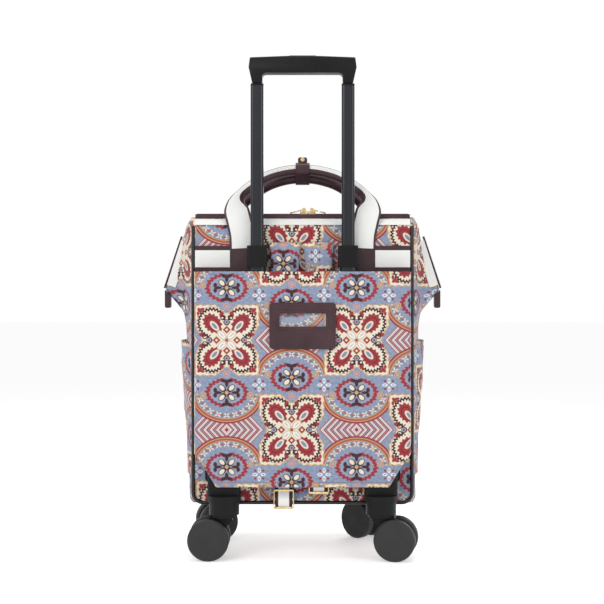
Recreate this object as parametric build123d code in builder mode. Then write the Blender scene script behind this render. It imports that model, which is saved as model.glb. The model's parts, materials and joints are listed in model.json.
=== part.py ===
from build123d import *
import os
from math import cos, hypot, radians, sin

# Rolling backpack: a soft wide-mouth bag on a trolley with four twin-wheel casters.
# The frame is the bag's own: +Z up, the trolley side faces -Y, the origin is on the floor.
os.makedirs("parts", exist_ok=True)

# Fits
seat = 0.3  # between a sewn or screwed piece and what carries it
press = 0.1  # round a tube held in a moulding
turn_gap = 0.05  # radial, between a pin and its bore
slide_gap = 0.2  # each side, between a tube and the collar that guides it
swivel_gap = 0.4  # between a caster's fork and its housing

# Bag body
rear_y = -64.5  # plane of the back panel
panel_width = 322.0  # between the two side seams of a panel
bag_depth = 180.0
bag_bottom = 78.0
shoulder_z = 485.0  # top edge of the straight panels
rim_z = 500.0  # top of the mouth
corner_radius = 15.0
fabric = 3.0  # outer cloth, foam and lining together
gusset_low = 173.0  # half widths at the middle of a side
gusset_high = 181.0
gusset_top = 175.0
upper_gusset_z = 400.0
front_lean_z = 250.0  # above it the front panel leans back
upper_depth = 146.0  # depth at the upper gusset
shoulder_depth = 100.0
rim_lean = 19.0  # how far the back rim lies in from the back panel
mouth_depth = 88.0  # from the back panel to the front rim
rim_half = 163.0  # half length of the mouth
rim_bow = 167.0

# Ears: the folded ends of the gussets beside the mouth
ear_y = rear_y + 60.0
ear_top = (181.0, 476.0)
ear_tip = (209.0, 392.0)
ear_root = (176.0, 358.0)
ear_inset = 24.0  # how far an ear reaches into the side
ear_thickness = 30.0  # where it leaves the side
ear_edge = 7.0  # at its tip
ear_band = 14.0  # webbing along the edge
binding_width = 10.0
leather = 2.2
tab_width = 9.0
tab_height = 28.0

# Piping, bands and patches
bead = 2.75  # radius of the piping
band_height = 38.0
band_z = 436.5  # middle of the webbing band and of the patches
web_height = 25.0
web = 1.2  # thickness of webbing
patch_size = 37.0
patch_x = 88.0
patch = 2.4  # thickness of a patch

# Telescopic handle
tube_x = 66.4
tube_y = rear_y - 13.6
tube_wall = 1.3
inner_width, inner_thick = 14.4, 9.0
middle_width, middle_thick = 19.0, 13.0
outer_width, outer_thick = 23.6, 17.2
groove_width, groove_depth = 2.2, 0.5
outer_foot = 112.0
outer_top = 452.0
middle_length = 318.0
inner_length = 298.0
grip_width = 157.0
grip_depth = 24.0
grip_under = 706.0  # where the hand reaches under the grip, drawn out as in the photograph
grip_top = grip_under + 25.0
grip_edge = grip_under + 8.0  # the ridge along the grip's face
neck_z = grip_under - 14.5  # underside of the grip's necks
neck_half = 9.5
collar_height = 3.2
middle_top = neck_z - seat - collar_height
button_length, button_width = 40.0, 13.0
button_travel = 3.5
rod = 4.0  # lock rods and the bar between them

# Flap over the trolley
flap_top = 417.0
flap_hem = 105.0
flap_stand = 31.5  # from the back panel to its face
flap_cloth = 2.5
flap_half = 157.5
flap_corner = 20.0
corner_low = 125.0  # where the slanted corner meets the hem
corner_high = (148.0, 143.0)

# Luggage tag
tag_width, tag_height, tag_z = 96.0, 67.0, 338.5
tag_leather = 3.0
window_width, window_height, window_z = 67.0, 19.0, 347.0
frame_border = 3.8
film = 0.5

# Shoulder straps, stowed behind the flap
strap_top = 463.0
strap_end = 182.0
strap_width = 48.0
strap_pad = 11.0
strap_gap = 2.0
strap_middle = -1.0
tail_width = 26.0
tail_y = rear_y - 10.6
slider_width, slider_height, slider_bar = 30.0, 29.0, 3.0
slider_foot = {"left": 70.5, "right": 92.5}
slider_x = {"left": -27.6, "right": 23.7}

# Carry handles
strap_wide = 38.0
handle_leather = 3.0
roll = 7.8  # radius of the rolled grip
shoulder_x = 101.0
handles = {
    "rear": {"foot_y": rear_y + 10.0, "foot_z": 521.0, "apex_y": rear_y + 44.0, "apex_z": 572.5},
    "front": {"foot_y": rear_y + 92.0, "foot_z": 514.0, "apex_y": rear_y + 62.0, "apex_z": 561.5},
}
wrap_width = 21.0
wrap_leather = 2.0

# Side pockets
pocket_top = 315.0
pocket_foot = 115.0
pocket_reach = 187.0
pocket_cloth = 1.8
pocket_margin = 7.0

# Casters
swivel_x = 114.0
near_swivel_y = rear_y - 20.0
far_swivel_y = rear_y + 130.0
trail = 22.0
wheel_radius = 30.0
wheel_width = 14.6
wheel_bevel = 2.5
fork_width = 18.0
side_play = 0.4  # between a wheel and the fork
axle_radius = 3.0
axle_hold = 11.5  # how deep the axle enters a wheel
cap_radius = 22.0
housing_half = 24.0
cap_foot = 65.0
cap_lip = 83.5
housing_top = 160.0
kingpin_radius = 5.0
kingpin_length = 10.0
casters = {
    "near_left": (-swivel_x, near_swivel_y, 180.0),
    "near_right": (swivel_x, near_swivel_y, -12.0),
    "far_left": (-swivel_x, far_swivel_y, 194.0),
    "far_right": (swivel_x, far_swivel_y, 135.0),
}

# Trolley bracket and base board
bracket_foot = 108.0
bracket_top = 165.0
bracket_thick = 5.6
bracket_half = 143.0
board = 3.0

SIDES = {"left": -1, "right": 1}


def save(builder, label):
    """Name a finished piece and write it."""
    builder.part.label = label
    export_step(builder.part, f"parts/{label}.step")


def bag_form(grow):
    """The bag's closed form, swollen by grow on every face but the top."""
    half = panel_width / 2 + grow
    back = rear_y - grow
    levels = (
        (bag_bottom - grow, gusset_low, bag_depth),
        (front_lean_z - 90.0, gusset_low, bag_depth),
        (front_lean_z, gusset_low + 1.0, bag_depth - 3.0),
        (upper_gusset_z, gusset_high, upper_depth),
        (shoulder_z, gusset_top, shoulder_depth),
    )
    mouth = (
        (shoulder_z, half, gusset_top, 0.0, shoulder_depth),
        (rim_z, rim_half + grow, rim_bow, rim_lean, mouth_depth),
    )
    with BuildPart() as form:
        for level, side, depth in levels:
            front = rear_y + depth + grow
            middle = (back + front) / 2
            with BuildSketch(Plane.XY.offset(level)):
                with BuildLine():
                    Line((-half, back), (half, back))
                    ThreePointArc((half, back), (side + grow, middle), (half, front))
                    Line((half, front), (-half, front))
                    ThreePointArc((-half, front), (-side - grow, middle), (-half, back))
                make_face()
        loft()
        low_edges = form.faces().sort_by(Axis.Z)[0].edges().sort_by(Axis.X)
        fillet((low_edges[0], low_edges[-1]), corner_radius + grow)
        for level, width, side, lean, depth in mouth:
            near = back + lean
            front = rear_y + depth + grow
            middle = (near + front) / 2
            with BuildSketch(Plane.XY.offset(level)):
                with BuildLine():
                    Line((-width, near), (width, near))
                    ThreePointArc((width, near), (side + grow, middle), (width, front))
                    Line((width, front), (-width, front))
                    ThreePointArc((-width, front), (-side - grow, middle), (-width, near))
                make_face()
        loft(ruled=True)
    return form.part


def ear_form(side, grow):
    """One ear: its face outline cut to a wedge that thins towards the tip."""
    root_x = ear_root[0] - ear_inset
    with BuildPart() as ear:
        with BuildSketch(Plane.XZ.offset(-ear_y)):
            with BuildLine():
                Polyline(
                    (side * root_x, ear_top[1] - 2.0),
                    (side * (ear_top[0] + grow), ear_top[1] + grow),
                    (side * (ear_tip[0] + grow), ear_tip[1]),
                    (side * (ear_root[0] + grow), ear_root[1] - grow),
                    (side * root_x, ear_root[1]),
                    close=True,
                )
            make_face()
        extrude(amount=ear_thickness, both=True)
        with BuildSketch(Plane.XY.offset(ear_root[1] - 10.0)):
            with BuildLine():
                Polyline(
                    (side * root_x, ear_y - ear_thickness - grow),
                    (side * ear_root[0], ear_y - ear_thickness / 2 - grow),
                    (side * (ear_tip[0] + 6.0), ear_y - ear_edge / 2 - grow),
                    (side * (ear_tip[0] + 6.0), ear_y + ear_edge / 2 + grow),
                    (side * ear_root[0], ear_y + ear_thickness / 2 + grow),
                    (side * root_x, ear_y + ear_thickness + grow),
                    close=True,
                )
            make_face()
        extrude(amount=ear_top[1] - ear_root[1] + 20.0, mode=Mode.INTERSECT)
    return ear.part


bag_outer = bag_form(0.0)
bag_seat = bag_form(seat)
ears = {side: ear_form(sign, 0.0) for side, sign in SIDES.items()}

# Bag shell: cloth walls round one compartment, open at the mouth
with BuildPart() as bag_shell:
    add(bag_outer)
    for ear in ears.values():
        add(ear)
    add(bag_form(-fabric), mode=Mode.SUBTRACT)
save(bag_shell, "bag_shell")

# Base board on the compartment's floor
board_z = bag_bottom + fabric + seat
with BuildPart() as base_board:
    with BuildSketch(Plane.XY.offset(board_z)):
        with Locations((0, rear_y + bag_depth / 2)):
            RectangleRounded(panel_width - 2 * corner_radius - 2 * fabric, bag_depth - 5 * fabric, 12)
    extrude(amount=board)
save(base_board, "base_board")

# Mouth frames: a bent wire behind each rim
frame_wire = 2.0
frame_leg = 55.0
frame_half = panel_width / 2 - 3 * fabric
front_slope = (upper_depth - shoulder_depth) / (shoulder_z - upper_gusset_z)
frame_top_z = shoulder_z - 2 * frame_wire
frame_stand = (frame_wire + seat) * hypot(1, front_slope)
rear_frame_y = rear_y + fabric + seat + frame_wire
front_frame_y = rear_y + shoulder_depth + 2 * frame_wire * front_slope - fabric - frame_stand
frame_planes = {
    "rear": Plane((0, rear_frame_y, frame_top_z), x_dir=(1, 0, 0), z_dir=(0, -1, 0)),
    "front": Plane((0, front_frame_y, frame_top_z), x_dir=(1, 0, 0), z_dir=(0, -1, -front_slope)),
}
with BuildPart() as mouth_frames:
    for plane in frame_planes.values():
        with BuildLine(plane) as wire:
            FilletPolyline(
                (-frame_half, -frame_leg),
                (-frame_half, 0),
                (frame_half, 0),
                (frame_half, -frame_leg),
                radius=12,
            )
        with BuildSketch(Plane(wire.line @ 0, z_dir=wire.line % 0)):
            Circle(frame_wire)
        sweep(path=wire.line)
save(mouth_frames, "mouth_frames")

# Piping round the edges of the back and front panels
half_panel = panel_width / 2
rear_edge_points = (
    (-half_panel, shoulder_z),
    (-half_panel, bag_bottom),
    (half_panel, bag_bottom),
    (half_panel, shoulder_z),
)
with BuildPart() as piping_rear:
    with BuildLine(Plane.XZ.offset(-rear_y)) as seam:
        FilletPolyline(*rear_edge_points, radius=corner_radius)
    with BuildSketch(Plane(seam.line @ 0, z_dir=seam.line % 0)):
        Circle(bead)
    sweep(path=seam.line)
    add(bag_seat, mode=Mode.SUBTRACT)
save(piping_rear, "piping_rear")

front_y = rear_y + bag_depth
with BuildPart() as piping_front:
    with BuildLine(Plane.XZ.offset(-front_y)) as low_seam:
        FilletPolyline(
            (-half_panel, front_lean_z - 90.0),
            (-half_panel, bag_bottom),
            (half_panel, bag_bottom),
            (half_panel, front_lean_z - 90.0),
            radius=corner_radius,
        )
    with BuildSketch(Plane(low_seam.line @ 0, z_dir=low_seam.line % 0)):
        Circle(bead)
    sweep(path=low_seam.line)
    for sign in SIDES.values():
        with BuildLine() as high_seam:
            Spline(
                (sign * half_panel, front_y, front_lean_z - 90.0),
                (sign * half_panel, front_y - 3.0, front_lean_z),
                (sign * half_panel, rear_y + upper_depth, upper_gusset_z),
                (sign * half_panel, rear_y + shoulder_depth, shoulder_z),
            )
        with BuildSketch(Plane(high_seam.line @ 0, z_dir=high_seam.line % 0)):
            Circle(bead)
        sweep(path=high_seam.line)
    add(bag_seat, mode=Mode.SUBTRACT)
save(piping_front, "piping_front")

# Rim: a leather binding over both edges of the mouth and a webbing strip below it
rim_reach = rim_half - 4.0
binding_drop = 3.5
with BuildPart() as rim_binding:
    for near, sign in ((rear_y + rim_lean, -1), (rear_y + mouth_depth, 1)):
        with BuildSketch(Plane.YZ):
            with Locations((near, rim_z - binding_drop / 2 + leather)):
                Rectangle(2 * (fabric + leather), binding_drop + leather, align=(Align.CENTER, Align.CENTER))
        extrude(amount=rim_reach, both=True)
    add(bag_seat, mode=Mode.SUBTRACT)
    with BuildSketch(Plane.XY.offset(rim_z - 3 * binding_drop)):
        with Locations((0, rear_y + (rim_lean + mouth_depth) / 2)):
            Rectangle(3 * rim_reach, mouth_depth - rim_lean - 2 * (fabric + seat))
    extrude(amount=6 * binding_drop, mode=Mode.SUBTRACT)
save(rim_binding, "rim_binding")

rim_web_low = shoulder_z + 1.5
rim_web_high = rim_z - binding_drop - seat
with BuildPart() as rim_webbing:
    add(bag_form(seat + web))
    with BuildSketch(Plane.XY.offset(rim_web_low)):
        with Locations((0, rear_y + shoulder_depth / 2)):
            Rectangle(2 * rim_reach, 2 * bag_depth)
    extrude(amount=rim_web_high - rim_web_low, mode=Mode.INTERSECT)
    add(bag_seat, mode=Mode.SUBTRACT)
save(rim_webbing, "rim_webbing")

# Zip: tape bowed across the mouth, teeth along its crown
mouth_near = rear_y + rim_lean + fabric + seat
mouth_far = rear_y + mouth_depth - fabric - seat
zip_y = (mouth_near + mouth_far) / 2
zip_rise = 5.0
tape = 1.4
teeth_width, teeth_height = 6.0, 3.2
zip_half = rim_half - fabric - 2 * seat
tape_z = rim_z - tape
crown_z = tape_z + zip_rise + tape
with BuildPart() as zip_chain:
    with BuildSketch(Plane.YZ):
        with BuildLine():
            Line((mouth_near, tape_z), (mouth_near, tape_z + tape))
            ThreePointArc((mouth_near, tape_z + tape), (zip_y, crown_z), (mouth_far, tape_z + tape))
            Line((mouth_far, tape_z + tape), (mouth_far, tape_z))
            ThreePointArc((mouth_far, tape_z), (zip_y, crown_z - tape), (mouth_near, tape_z))
        make_face()
        with Locations((zip_y, crown_z)):
            Rectangle(teeth_width, teeth_height)
    extrude(amount=zip_half, both=True)
save(zip_chain, "zip_chain")

# Zip sliders meeting near the middle, each with a hanging pull on its bail
slider_meet = 8.0
slider_length, slider_deep, slider_tall = 11.0, 9.6, 5.2
bail_radius = 1.0
pull_length, pull_wide, pull_thick = 21.5, 7.0, 1.8
pull_droop = 15.0  # degrees below level, its tip on the teeth
teeth_top = crown_z + teeth_height / 2
slider_low = crown_z + slide_gap
hub_radius = 2.5
bail_z = slider_low + slider_tall + hub_radius + seat
for name, sign in SIDES.items():
    middle_x = slider_meet + sign * (slider_length / 2 + 0.5)
    with BuildPart() as zip_slider:
        with BuildSketch(Plane.XY.offset(slider_low)):
            with Locations((middle_x, zip_y)):
                RectangleRounded(slider_length, slider_deep, 2.5)
        extrude(amount=slider_tall)
        with BuildSketch(Plane.XY.offset(slider_low)):
            with Locations((middle_x, zip_y)):
                Rectangle(2 * slider_length, teeth_width + 2 * slide_gap)
        extrude(amount=teeth_top + slide_gap - slider_low, mode=Mode.SUBTRACT)
        for ear_side in SIDES.values():
            with BuildSketch(Plane.XZ.offset(-zip_y - ear_side * 2.6)):
                with Locations((middle_x, bail_z - 0.8)):
                    RectangleRounded(5.6, 5.8, 2)
            extrude(amount=0.8, both=True)
        with BuildSketch(Plane.XZ.offset(-zip_y)):
            with Locations((middle_x, bail_z)):
                Circle(bail_radius)
        extrude(amount=3.0, both=True)
    save(zip_slider, f"zip_slider_{name}")

    along = (sign * cos(radians(pull_droop)), 0, -sin(radians(pull_droop)))
    upward = (sign * sin(radians(pull_droop)), 0, cos(radians(pull_droop)))
    bail = (middle_x, zip_y, bail_z)
    with BuildPart() as zip_pull:
        with BuildSketch(Plane(bail, x_dir=along, z_dir=(0, -sign, 0))):
            Circle(hub_radius)
            with Locations((pull_length / 2, 0)):
                Rectangle(pull_length - 2 * pull_wide, pull_thick)
            with Locations((pull_length / 4, 0)):
                Rectangle(pull_length / 2, pull_thick)
            Circle(bail_radius + turn_gap, mode=Mode.SUBTRACT)
        extrude(amount=1.5, both=True)
        with BuildSketch(Plane(bail, x_dir=along, z_dir=upward)):
            with Locations((pull_length - pull_wide, 0)):
                Ellipse(pull_wide, pull_wide / 2)
                Circle(1.6, mode=Mode.SUBTRACT)
        extrude(amount=pull_thick / 2, both=True)
    save(zip_pull, f"zip_pull_{name}")

# Ear trims: leather binding on the edge, webbing beside it, a leather tab on the tip
slant = hypot(ear_tip[0] - ear_top[0], ear_top[1] - ear_tip[1])
out_x = (ear_top[1] - ear_tip[1]) / slant
out_z = (ear_tip[0] - ear_top[0]) / slant


def edge_point(side, along, out):
    """A point of the ear's face, along its edge from the tip and out from it."""
    x = ear_tip[0] - along * out_z + out * out_x
    z = ear_tip[1] + along * out_x + out * out_z
    return (side * x, z)


with BuildPart() as ear_bindings:
    for sign in SIDES.values():
        with BuildSketch(Plane.XZ.offset(-ear_y)):
            with BuildLine():
                Polyline(
                    edge_point(sign, 2.0, seat),
                    edge_point(sign, slant - 4.0, seat),
                    edge_point(sign, slant - 4.0, seat + leather),
                    edge_point(sign, 2.0, seat + leather),
                    close=True,
                )
            make_face()
        extrude(amount=binding_width / 2, both=True)
save(ear_bindings, "ear_bindings")

with BuildPart() as ear_webbing:
    for name, sign in SIDES.items():
        add(ear_form(sign, seat + web))
    with BuildSketch(Plane.XZ.offset(-ear_y)):
        for sign in SIDES.values():
            with BuildLine():
                Polyline(
                    edge_point(sign, 8.0, -1.0),
                    edge_point(sign, slant - 10.0, -1.0),
                    edge_point(sign, slant - 10.0, -1.0 - ear_band),
                    edge_point(sign, 8.0, -1.0 - ear_band),
                    close=True,
                )
            make_face()
    extrude(amount=2 * ear_thickness, both=True, mode=Mode.INTERSECT)
    for name, sign in SIDES.items():
        add(ear_form(sign, seat), mode=Mode.SUBTRACT)
    add(bag_seat, mode=Mode.SUBTRACT)
save(ear_webbing, "ear_webbing")

with BuildPart() as ear_tabs:
    for name, sign in SIDES.items():
        with BuildSketch(Plane.XZ.offset(-ear_y)):
            with Locations((sign * (ear_tip[0] - tab_width / 2), ear_tip[1] - tab_height / 2)):
                RectangleRounded(tab_width, tab_height, 3)
        extrude(amount=ear_edge / 2 + seat + leather, both=True)
    for sign in SIDES.values():
        add(ear_form(sign, seat), mode=Mode.SUBTRACT)
save(ear_tabs, "ear_tabs")

# Side pockets: open-topped pouches that follow the gussets
pocket_depth = 162.0  # the bag's depth at the pocket's top edge
pocket_y = rear_y + pocket_depth / 2
pocket_half = pocket_depth / 2 - pocket_margin


def pocket_body(side, levels):
    """A crescent against the gusset, lofted up through (height, reach) levels."""
    with BuildPart() as body:
        for level, reach, half in levels:
            with BuildSketch(Plane.XY.offset(level)):
                with BuildLine():
                    root = side * (half_panel + seat)
                    near = (root, pocket_y - half)
                    far = (root, pocket_y + half)
                    ThreePointArc(near, (side * reach, pocket_y), far)
                    Line(far, near)
                make_face()
        loft(ruled=True)
    return body.part


pocket_bend = 175.0  # height where the pouch starts to stand away
for name, sign in SIDES.items():
    outside = (
        (pocket_foot, gusset_low + seat + pocket_cloth, pocket_half),
        (pocket_bend, gusset_low + seat + 2 * pocket_cloth, pocket_half),
        (pocket_top, pocket_reach, pocket_half),
    )
    inside = [
        (pocket_foot + pocket_cloth, outside[0][1] - pocket_cloth, pocket_half - pocket_cloth),
        (pocket_bend, outside[1][1] - pocket_cloth, pocket_half - pocket_cloth),
        (pocket_top, outside[2][1] - pocket_cloth, pocket_half - pocket_cloth),
    ]
    with BuildPart() as side_pocket:
        add(pocket_body(sign, outside))
        add(pocket_body(sign, inside), mode=Mode.SUBTRACT)
        add(bag_seat, mode=Mode.SUBTRACT)
    save(side_pocket, f"side_pocket_{name}")

# Leather band with a webbing strip on it, and the handle patches that end it
band_start = patch_x + patch_size / 2 + seat
band_end = half_panel - bead - seat
band_reach = (band_end + band_start) / 2
band_length = band_end - band_start


def swollen_strips(outer, inner, spots, width, height):
    """Rectangles of the skin between two forms, front and back, cut at the given X places."""
    with BuildPart() as strips:
        add(outer)
        with BuildSketch(Plane.XZ.offset(-rear_y + 2 * bead)):
            with Locations(*[(x, band_z) for x in spots]):
                Rectangle(width, height)
        extrude(amount=-bag_depth - 4 * bead, mode=Mode.INTERSECT)
        add(inner, mode=Mode.SUBTRACT)
    return strips.part


bag_band = bag_form(seat + leather - 0.6)
with BuildPart() as band_leather:
    add(swollen_strips(bag_band, bag_seat, (-band_reach, band_reach), band_length, band_height))
save(band_leather, "band_leather")

with BuildPart() as band_webbing:
    outer = bag_form(seat + leather - 0.6 + seat + web)
    inner = bag_form(seat + leather - 0.6 + seat)
    add(swollen_strips(outer, inner, (-band_reach, band_reach), band_length, web_height))
save(band_webbing, "band_webbing")

bag_patch = bag_form(seat + patch)
with BuildPart() as handle_patches:
    add(swollen_strips(bag_patch, bag_seat, (-patch_x, patch_x), patch_size, patch_size))
save(handle_patches, "handle_patches")

# Carry handles: a flat strap from each patch that turns into a rolled grip
strap_foot = band_z + band_height / 2 + seat
strap_rise = shoulder_z - strap_foot
front_crown = 2.6  # how far the bowed front panel stands out at the strap's foot
shoulder_half = 15.5  # half width of a strap where it turns into the roll
leg_clear = 0.8


def parallel(points, distance):
    """An open run of points moved to its left by distance, with mitred corners."""
    normals = []
    for (y0, z0), (y1, z1) in zip(points, points[1:]):
        length = hypot(y1 - y0, z1 - z0)
        normals.append((-(z1 - z0) / length, (y1 - y0) / length))
    before = [normals[0]] + normals
    after = normals + [normals[-1]]
    moved = []
    for (y, z), (ay, az), (by, bz) in zip(points, before, after):
        share = distance / (1 + ay * by + az * bz)
        moved.append((y + share * (ay + by), z + share * (az + bz)))
    return moved


def handle_ribbon(place, thickness, clear, width):
    """The two flat legs of one handle, as wide as width and lifted clear of the bag."""
    spec = handles[place]
    if place == "rear":
        way = 1
        run = [(rear_y, strap_foot), (rear_y, shoulder_z)]
    else:
        way = -1
        panel_top = rear_y + shoulder_depth
        panel_foot = panel_top + front_slope * strap_rise + front_crown
        run = [(panel_foot, strap_foot), (panel_top + 1.0, shoulder_z)]
    run.append((spec["foot_y"], spec["foot_z"]))
    near = parallel(run, way * clear)
    far = parallel(run, way * (clear + thickness))
    narrow = (strap_wide - width) / 2
    end_z = spec["foot_z"]
    inner_x = shoulder_x - shoulder_half + narrow
    outer_x = shoulder_x + shoulder_half - narrow
    with BuildPart() as legs:
        with BuildSketch(Plane.YZ):
            with BuildLine():
                Polyline(*near, *reversed(far), close=True)
            make_face()
        extrude(amount=half_panel, both=True)
        with BuildSketch(Plane.XZ):
            for sign in SIDES.values():
                with BuildLine():
                    Polyline(
                        (sign * (patch_x - width / 2), strap_foot - 1.0),
                        (sign * (patch_x + width / 2), strap_foot - 1.0),
                        (sign * outer_x, end_z - shoulder_half),
                        (sign * outer_x, end_z + 2 * roll),
                        (sign * inner_x, end_z + 2 * roll),
                        (sign * (inner_x - narrow / 2), end_z - shoulder_half),
                        close=True,
                    )
                make_face()
        extrude(amount=2 * bag_depth, both=True, mode=Mode.INTERSECT)
    return legs.part


def grip_plane(spec):
    """The leaning plane that a rolled grip's arc lies in."""
    lean = (0, spec["apex_y"] - spec["foot_y"], spec["apex_z"] - spec["foot_z"])
    normal = (0, lean[2], -lean[1])
    return Plane((0, spec["foot_y"], spec["foot_z"]), x_dir=(1, 0, 0), z_dir=(0, -normal[1], -normal[2]))


for place, spec in handles.items():
    rise = hypot(spec["apex_y"] - spec["foot_y"], spec["apex_z"] - spec["foot_z"])
    leaning = grip_plane(spec)
    with BuildPart() as carry_handle:
        add(handle_ribbon(place, handle_leather, leg_clear, strap_wide))
        with BuildLine(leaning) as arch:
            ThreePointArc((-shoulder_x, 0), (0, rise), (shoulder_x, 0))
        with BuildSketch(Plane(arch.line @ 0, z_dir=arch.line % 0)):
            Circle(roll)
        sweep(path=arch.line)
        add(bag_seat, mode=Mode.SUBTRACT)
    save(carry_handle, f"carry_handle_{place}")

    with BuildPart() as handle_webbing:
        add(handle_ribbon(place, web, leg_clear + handle_leather + seat, web_height))
        with BuildLine(leaning) as arch:
            ThreePointArc((-shoulder_x, 0), (0, rise), (shoulder_x, 0))
        with BuildSketch(Plane(arch.line @ 0, z_dir=arch.line % 0)):
            Circle(roll + seat)
        sweep(path=arch.line, mode=Mode.SUBTRACT)
    save(handle_webbing, f"handle_webbing_{place}")

# Wrap: a leather band snapped round both rolled grips
rear_apex = (handles["rear"]["apex_y"], handles["rear"]["apex_z"])
front_apex = (handles["front"]["apex_y"], handles["front"]["apex_z"])
wrap_middle = ((rear_apex[0] + front_apex[0]) / 2, (rear_apex[1] + front_apex[1]) / 2)
wrap_inner = roll + 2 * seat
tab_half = 7.0
tab_tall = 9.0
tab_foot = rear_apex[1] + wrap_inner + wrap_leather - 1.0
with BuildPart() as handle_wrap:
    with BuildSketch(Plane.YZ):
        SlotCenterPoint(wrap_middle, rear_apex, 2 * (wrap_inner + wrap_leather))
        SlotCenterPoint(wrap_middle, rear_apex, 2 * wrap_inner, mode=Mode.SUBTRACT)
    extrude(amount=wrap_width / 2, both=True)
    with BuildSketch(Plane.XZ.offset(-rear_apex[0])):
        with Locations((0, tab_foot + tab_tall / 2)):
            RectangleRounded(2 * tab_half, tab_tall, 3)
    extrude(amount=wrap_leather, both=True)
save(handle_wrap, "handle_wrap")

with BuildPart() as wrap_snap:
    with BuildSketch(Plane.XZ.offset(-rear_apex[0] + wrap_leather)):
        with Locations((0, tab_foot + tab_tall / 2 + 1.0)):
            Circle(3.2)
    extrude(amount=1.2)
    fillet(wrap_snap.faces().sort_by(Axis.Y)[0].edges(), 0.8)
save(wrap_snap, "wrap_snap")

# Flap: a cloth sleeve over the tubes, open above and below, its low corners slanted
flap_face = rear_y - flap_stand
with BuildPart() as flap_panel:
    with BuildSketch(Plane.XY.offset(flap_hem)):
        with BuildLine():
            FilletPolyline(
                (-flap_half, rear_y - seat),
                (-flap_half, flap_face),
                (flap_half, flap_face),
                (flap_half, rear_y - seat),
                radius=flap_corner,
            )
            Line((flap_half, rear_y - seat), (-flap_half, rear_y - seat))
        make_face()
        with BuildLine():
            FilletPolyline(
                (-flap_half + flap_cloth, rear_y),
                (-flap_half + flap_cloth, flap_face + flap_cloth),
                (flap_half - flap_cloth, flap_face + flap_cloth),
                (flap_half - flap_cloth, rear_y),
                radius=flap_corner - flap_cloth,
            )
            Line((flap_half - flap_cloth, rear_y), (-flap_half + flap_cloth, rear_y))
        make_face(mode=Mode.SUBTRACT)
    extrude(amount=flap_top - flap_hem)
    with BuildSketch(Plane.XZ.offset(-flap_face - flap_corner)):
        for sign in SIDES.values():
            with BuildLine():
                Polyline(
                    (sign * corner_low, flap_hem - 1.0),
                    (sign * corner_high[0], corner_high[1]),
                    (sign * (flap_half + 5.0), corner_high[1]),
                    (sign * (flap_half + 5.0), flap_hem - 1.0),
                    close=True,
                )
            make_face()
    extrude(amount=flap_corner + 5.0, mode=Mode.SUBTRACT)
save(flap_panel, "flap_panel")

# Luggage tag stitched to the flap, with a clear window
tag_back = flap_face - seat
with BuildPart() as luggage_tag:
    with BuildSketch(Plane.XZ.offset(-tag_back)):
        with Locations((0, tag_z)):
            RectangleRounded(tag_width, tag_height, 5)
    extrude(amount=tag_leather)
    with BuildSketch(Plane.XZ.offset(-tag_back + tag_leather)):
        with Locations((0, window_z)):
            RectangleRounded(window_width + 2 * frame_border, window_height + 2 * frame_border, 3)
    extrude(amount=0.8)
    with BuildSketch(Plane.XZ.offset(-tag_back)):
        with Locations((0, window_z)):
            RectangleRounded(window_width, window_height, 1.5)
    extrude(amount=2 * tag_leather, mode=Mode.SUBTRACT)
    with BuildSketch(Plane.XZ.offset(-tag_back)):
        with Locations((0, window_z)):
            Rectangle(window_width + frame_border, window_height + frame_border)
    extrude(amount=film + 0.1, mode=Mode.SUBTRACT)
save(luggage_tag, "luggage_tag")

with BuildPart() as tag_window:
    with BuildSketch(Plane.XZ.offset(-tag_back)):
        with Locations((0, window_z)):
            Rectangle(window_width + frame_border - seat, window_height + frame_border - seat)
    extrude(amount=film)
save(tag_window, "tag_window")

# Shoulder straps, stowed flat between the tubes, with their tails and sliders below
strap_back = rear_y - seat
strap_centre = (strap_width + strap_gap) / 2
tail_inner = slider_bar / 2 + seat
for name, sign in SIDES.items():
    with BuildPart() as shoulder_strap:
        with BuildSketch(Plane.XZ.offset(-strap_back)):
            with Locations((strap_middle + sign * strap_centre, (strap_top + strap_end) / 2)):
                RectangleRounded(strap_width, strap_top - strap_end, 6)
        extrude(amount=strap_pad)
        fillet(shoulder_strap.faces().sort_by(Axis.Y)[0].edges(), 3.5)
    save(shoulder_strap, f"shoulder_strap_{name}")

    foot = slider_foot[name]
    bar_z = foot + slider_bar / 2
    tail_x = slider_x[name]
    loop_radius = tail_inner + web
    with BuildPart() as strap_webbing:
        with BuildSketch(Plane.YZ.offset(tail_x)):
            with Locations((tail_y, (bar_z + strap_end - seat) / 2)):
                Rectangle(2 * loop_radius, strap_end - seat - bar_z)
                Rectangle(2 * tail_inner, strap_end - seat - bar_z, mode=Mode.SUBTRACT)
            with Locations((tail_y, bar_z)):
                Circle(loop_radius)
                Circle(tail_inner, mode=Mode.SUBTRACT)
            with Locations((tail_y, (bar_z + strap_end) / 2)):
                Rectangle(2 * tail_inner, strap_end - bar_z, mode=Mode.SUBTRACT)
            with Locations((tail_y, strap_end - seat - web / 2)):
                Rectangle(2 * loop_radius, web)
        extrude(amount=tail_width / 2, both=True)
    save(strap_webbing, f"strap_webbing_{name}")

    with BuildPart() as strap_slider:
        with BuildSketch(Plane.XZ.offset(-tail_y)):
            with Locations((tail_x, foot + slider_height / 2)):
                RectangleRounded(slider_width, slider_height, 3)
            slot_height = (slider_height - 3 * slider_bar) / 2
            for step in (0.5, 1.5):
                slot_z = foot + slider_bar * (step + 0.5) + slot_height * step
                with Locations((tail_x, slot_z)):
                    Rectangle(slider_width - slider_bar, slot_height, mode=Mode.SUBTRACT)
        extrude(amount=slider_bar / 2, both=True)
        upright = strap_slider.edges().filter_by(Axis.Z).group_by(Axis.X)
        fillet(upright[0] + upright[-1], 0.8)
    save(strap_slider, f"strap_slider_{name}")

# Telescopic tubes: the outer pair is fixed, the middle pair is drawn out, the inner pair is in


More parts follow.
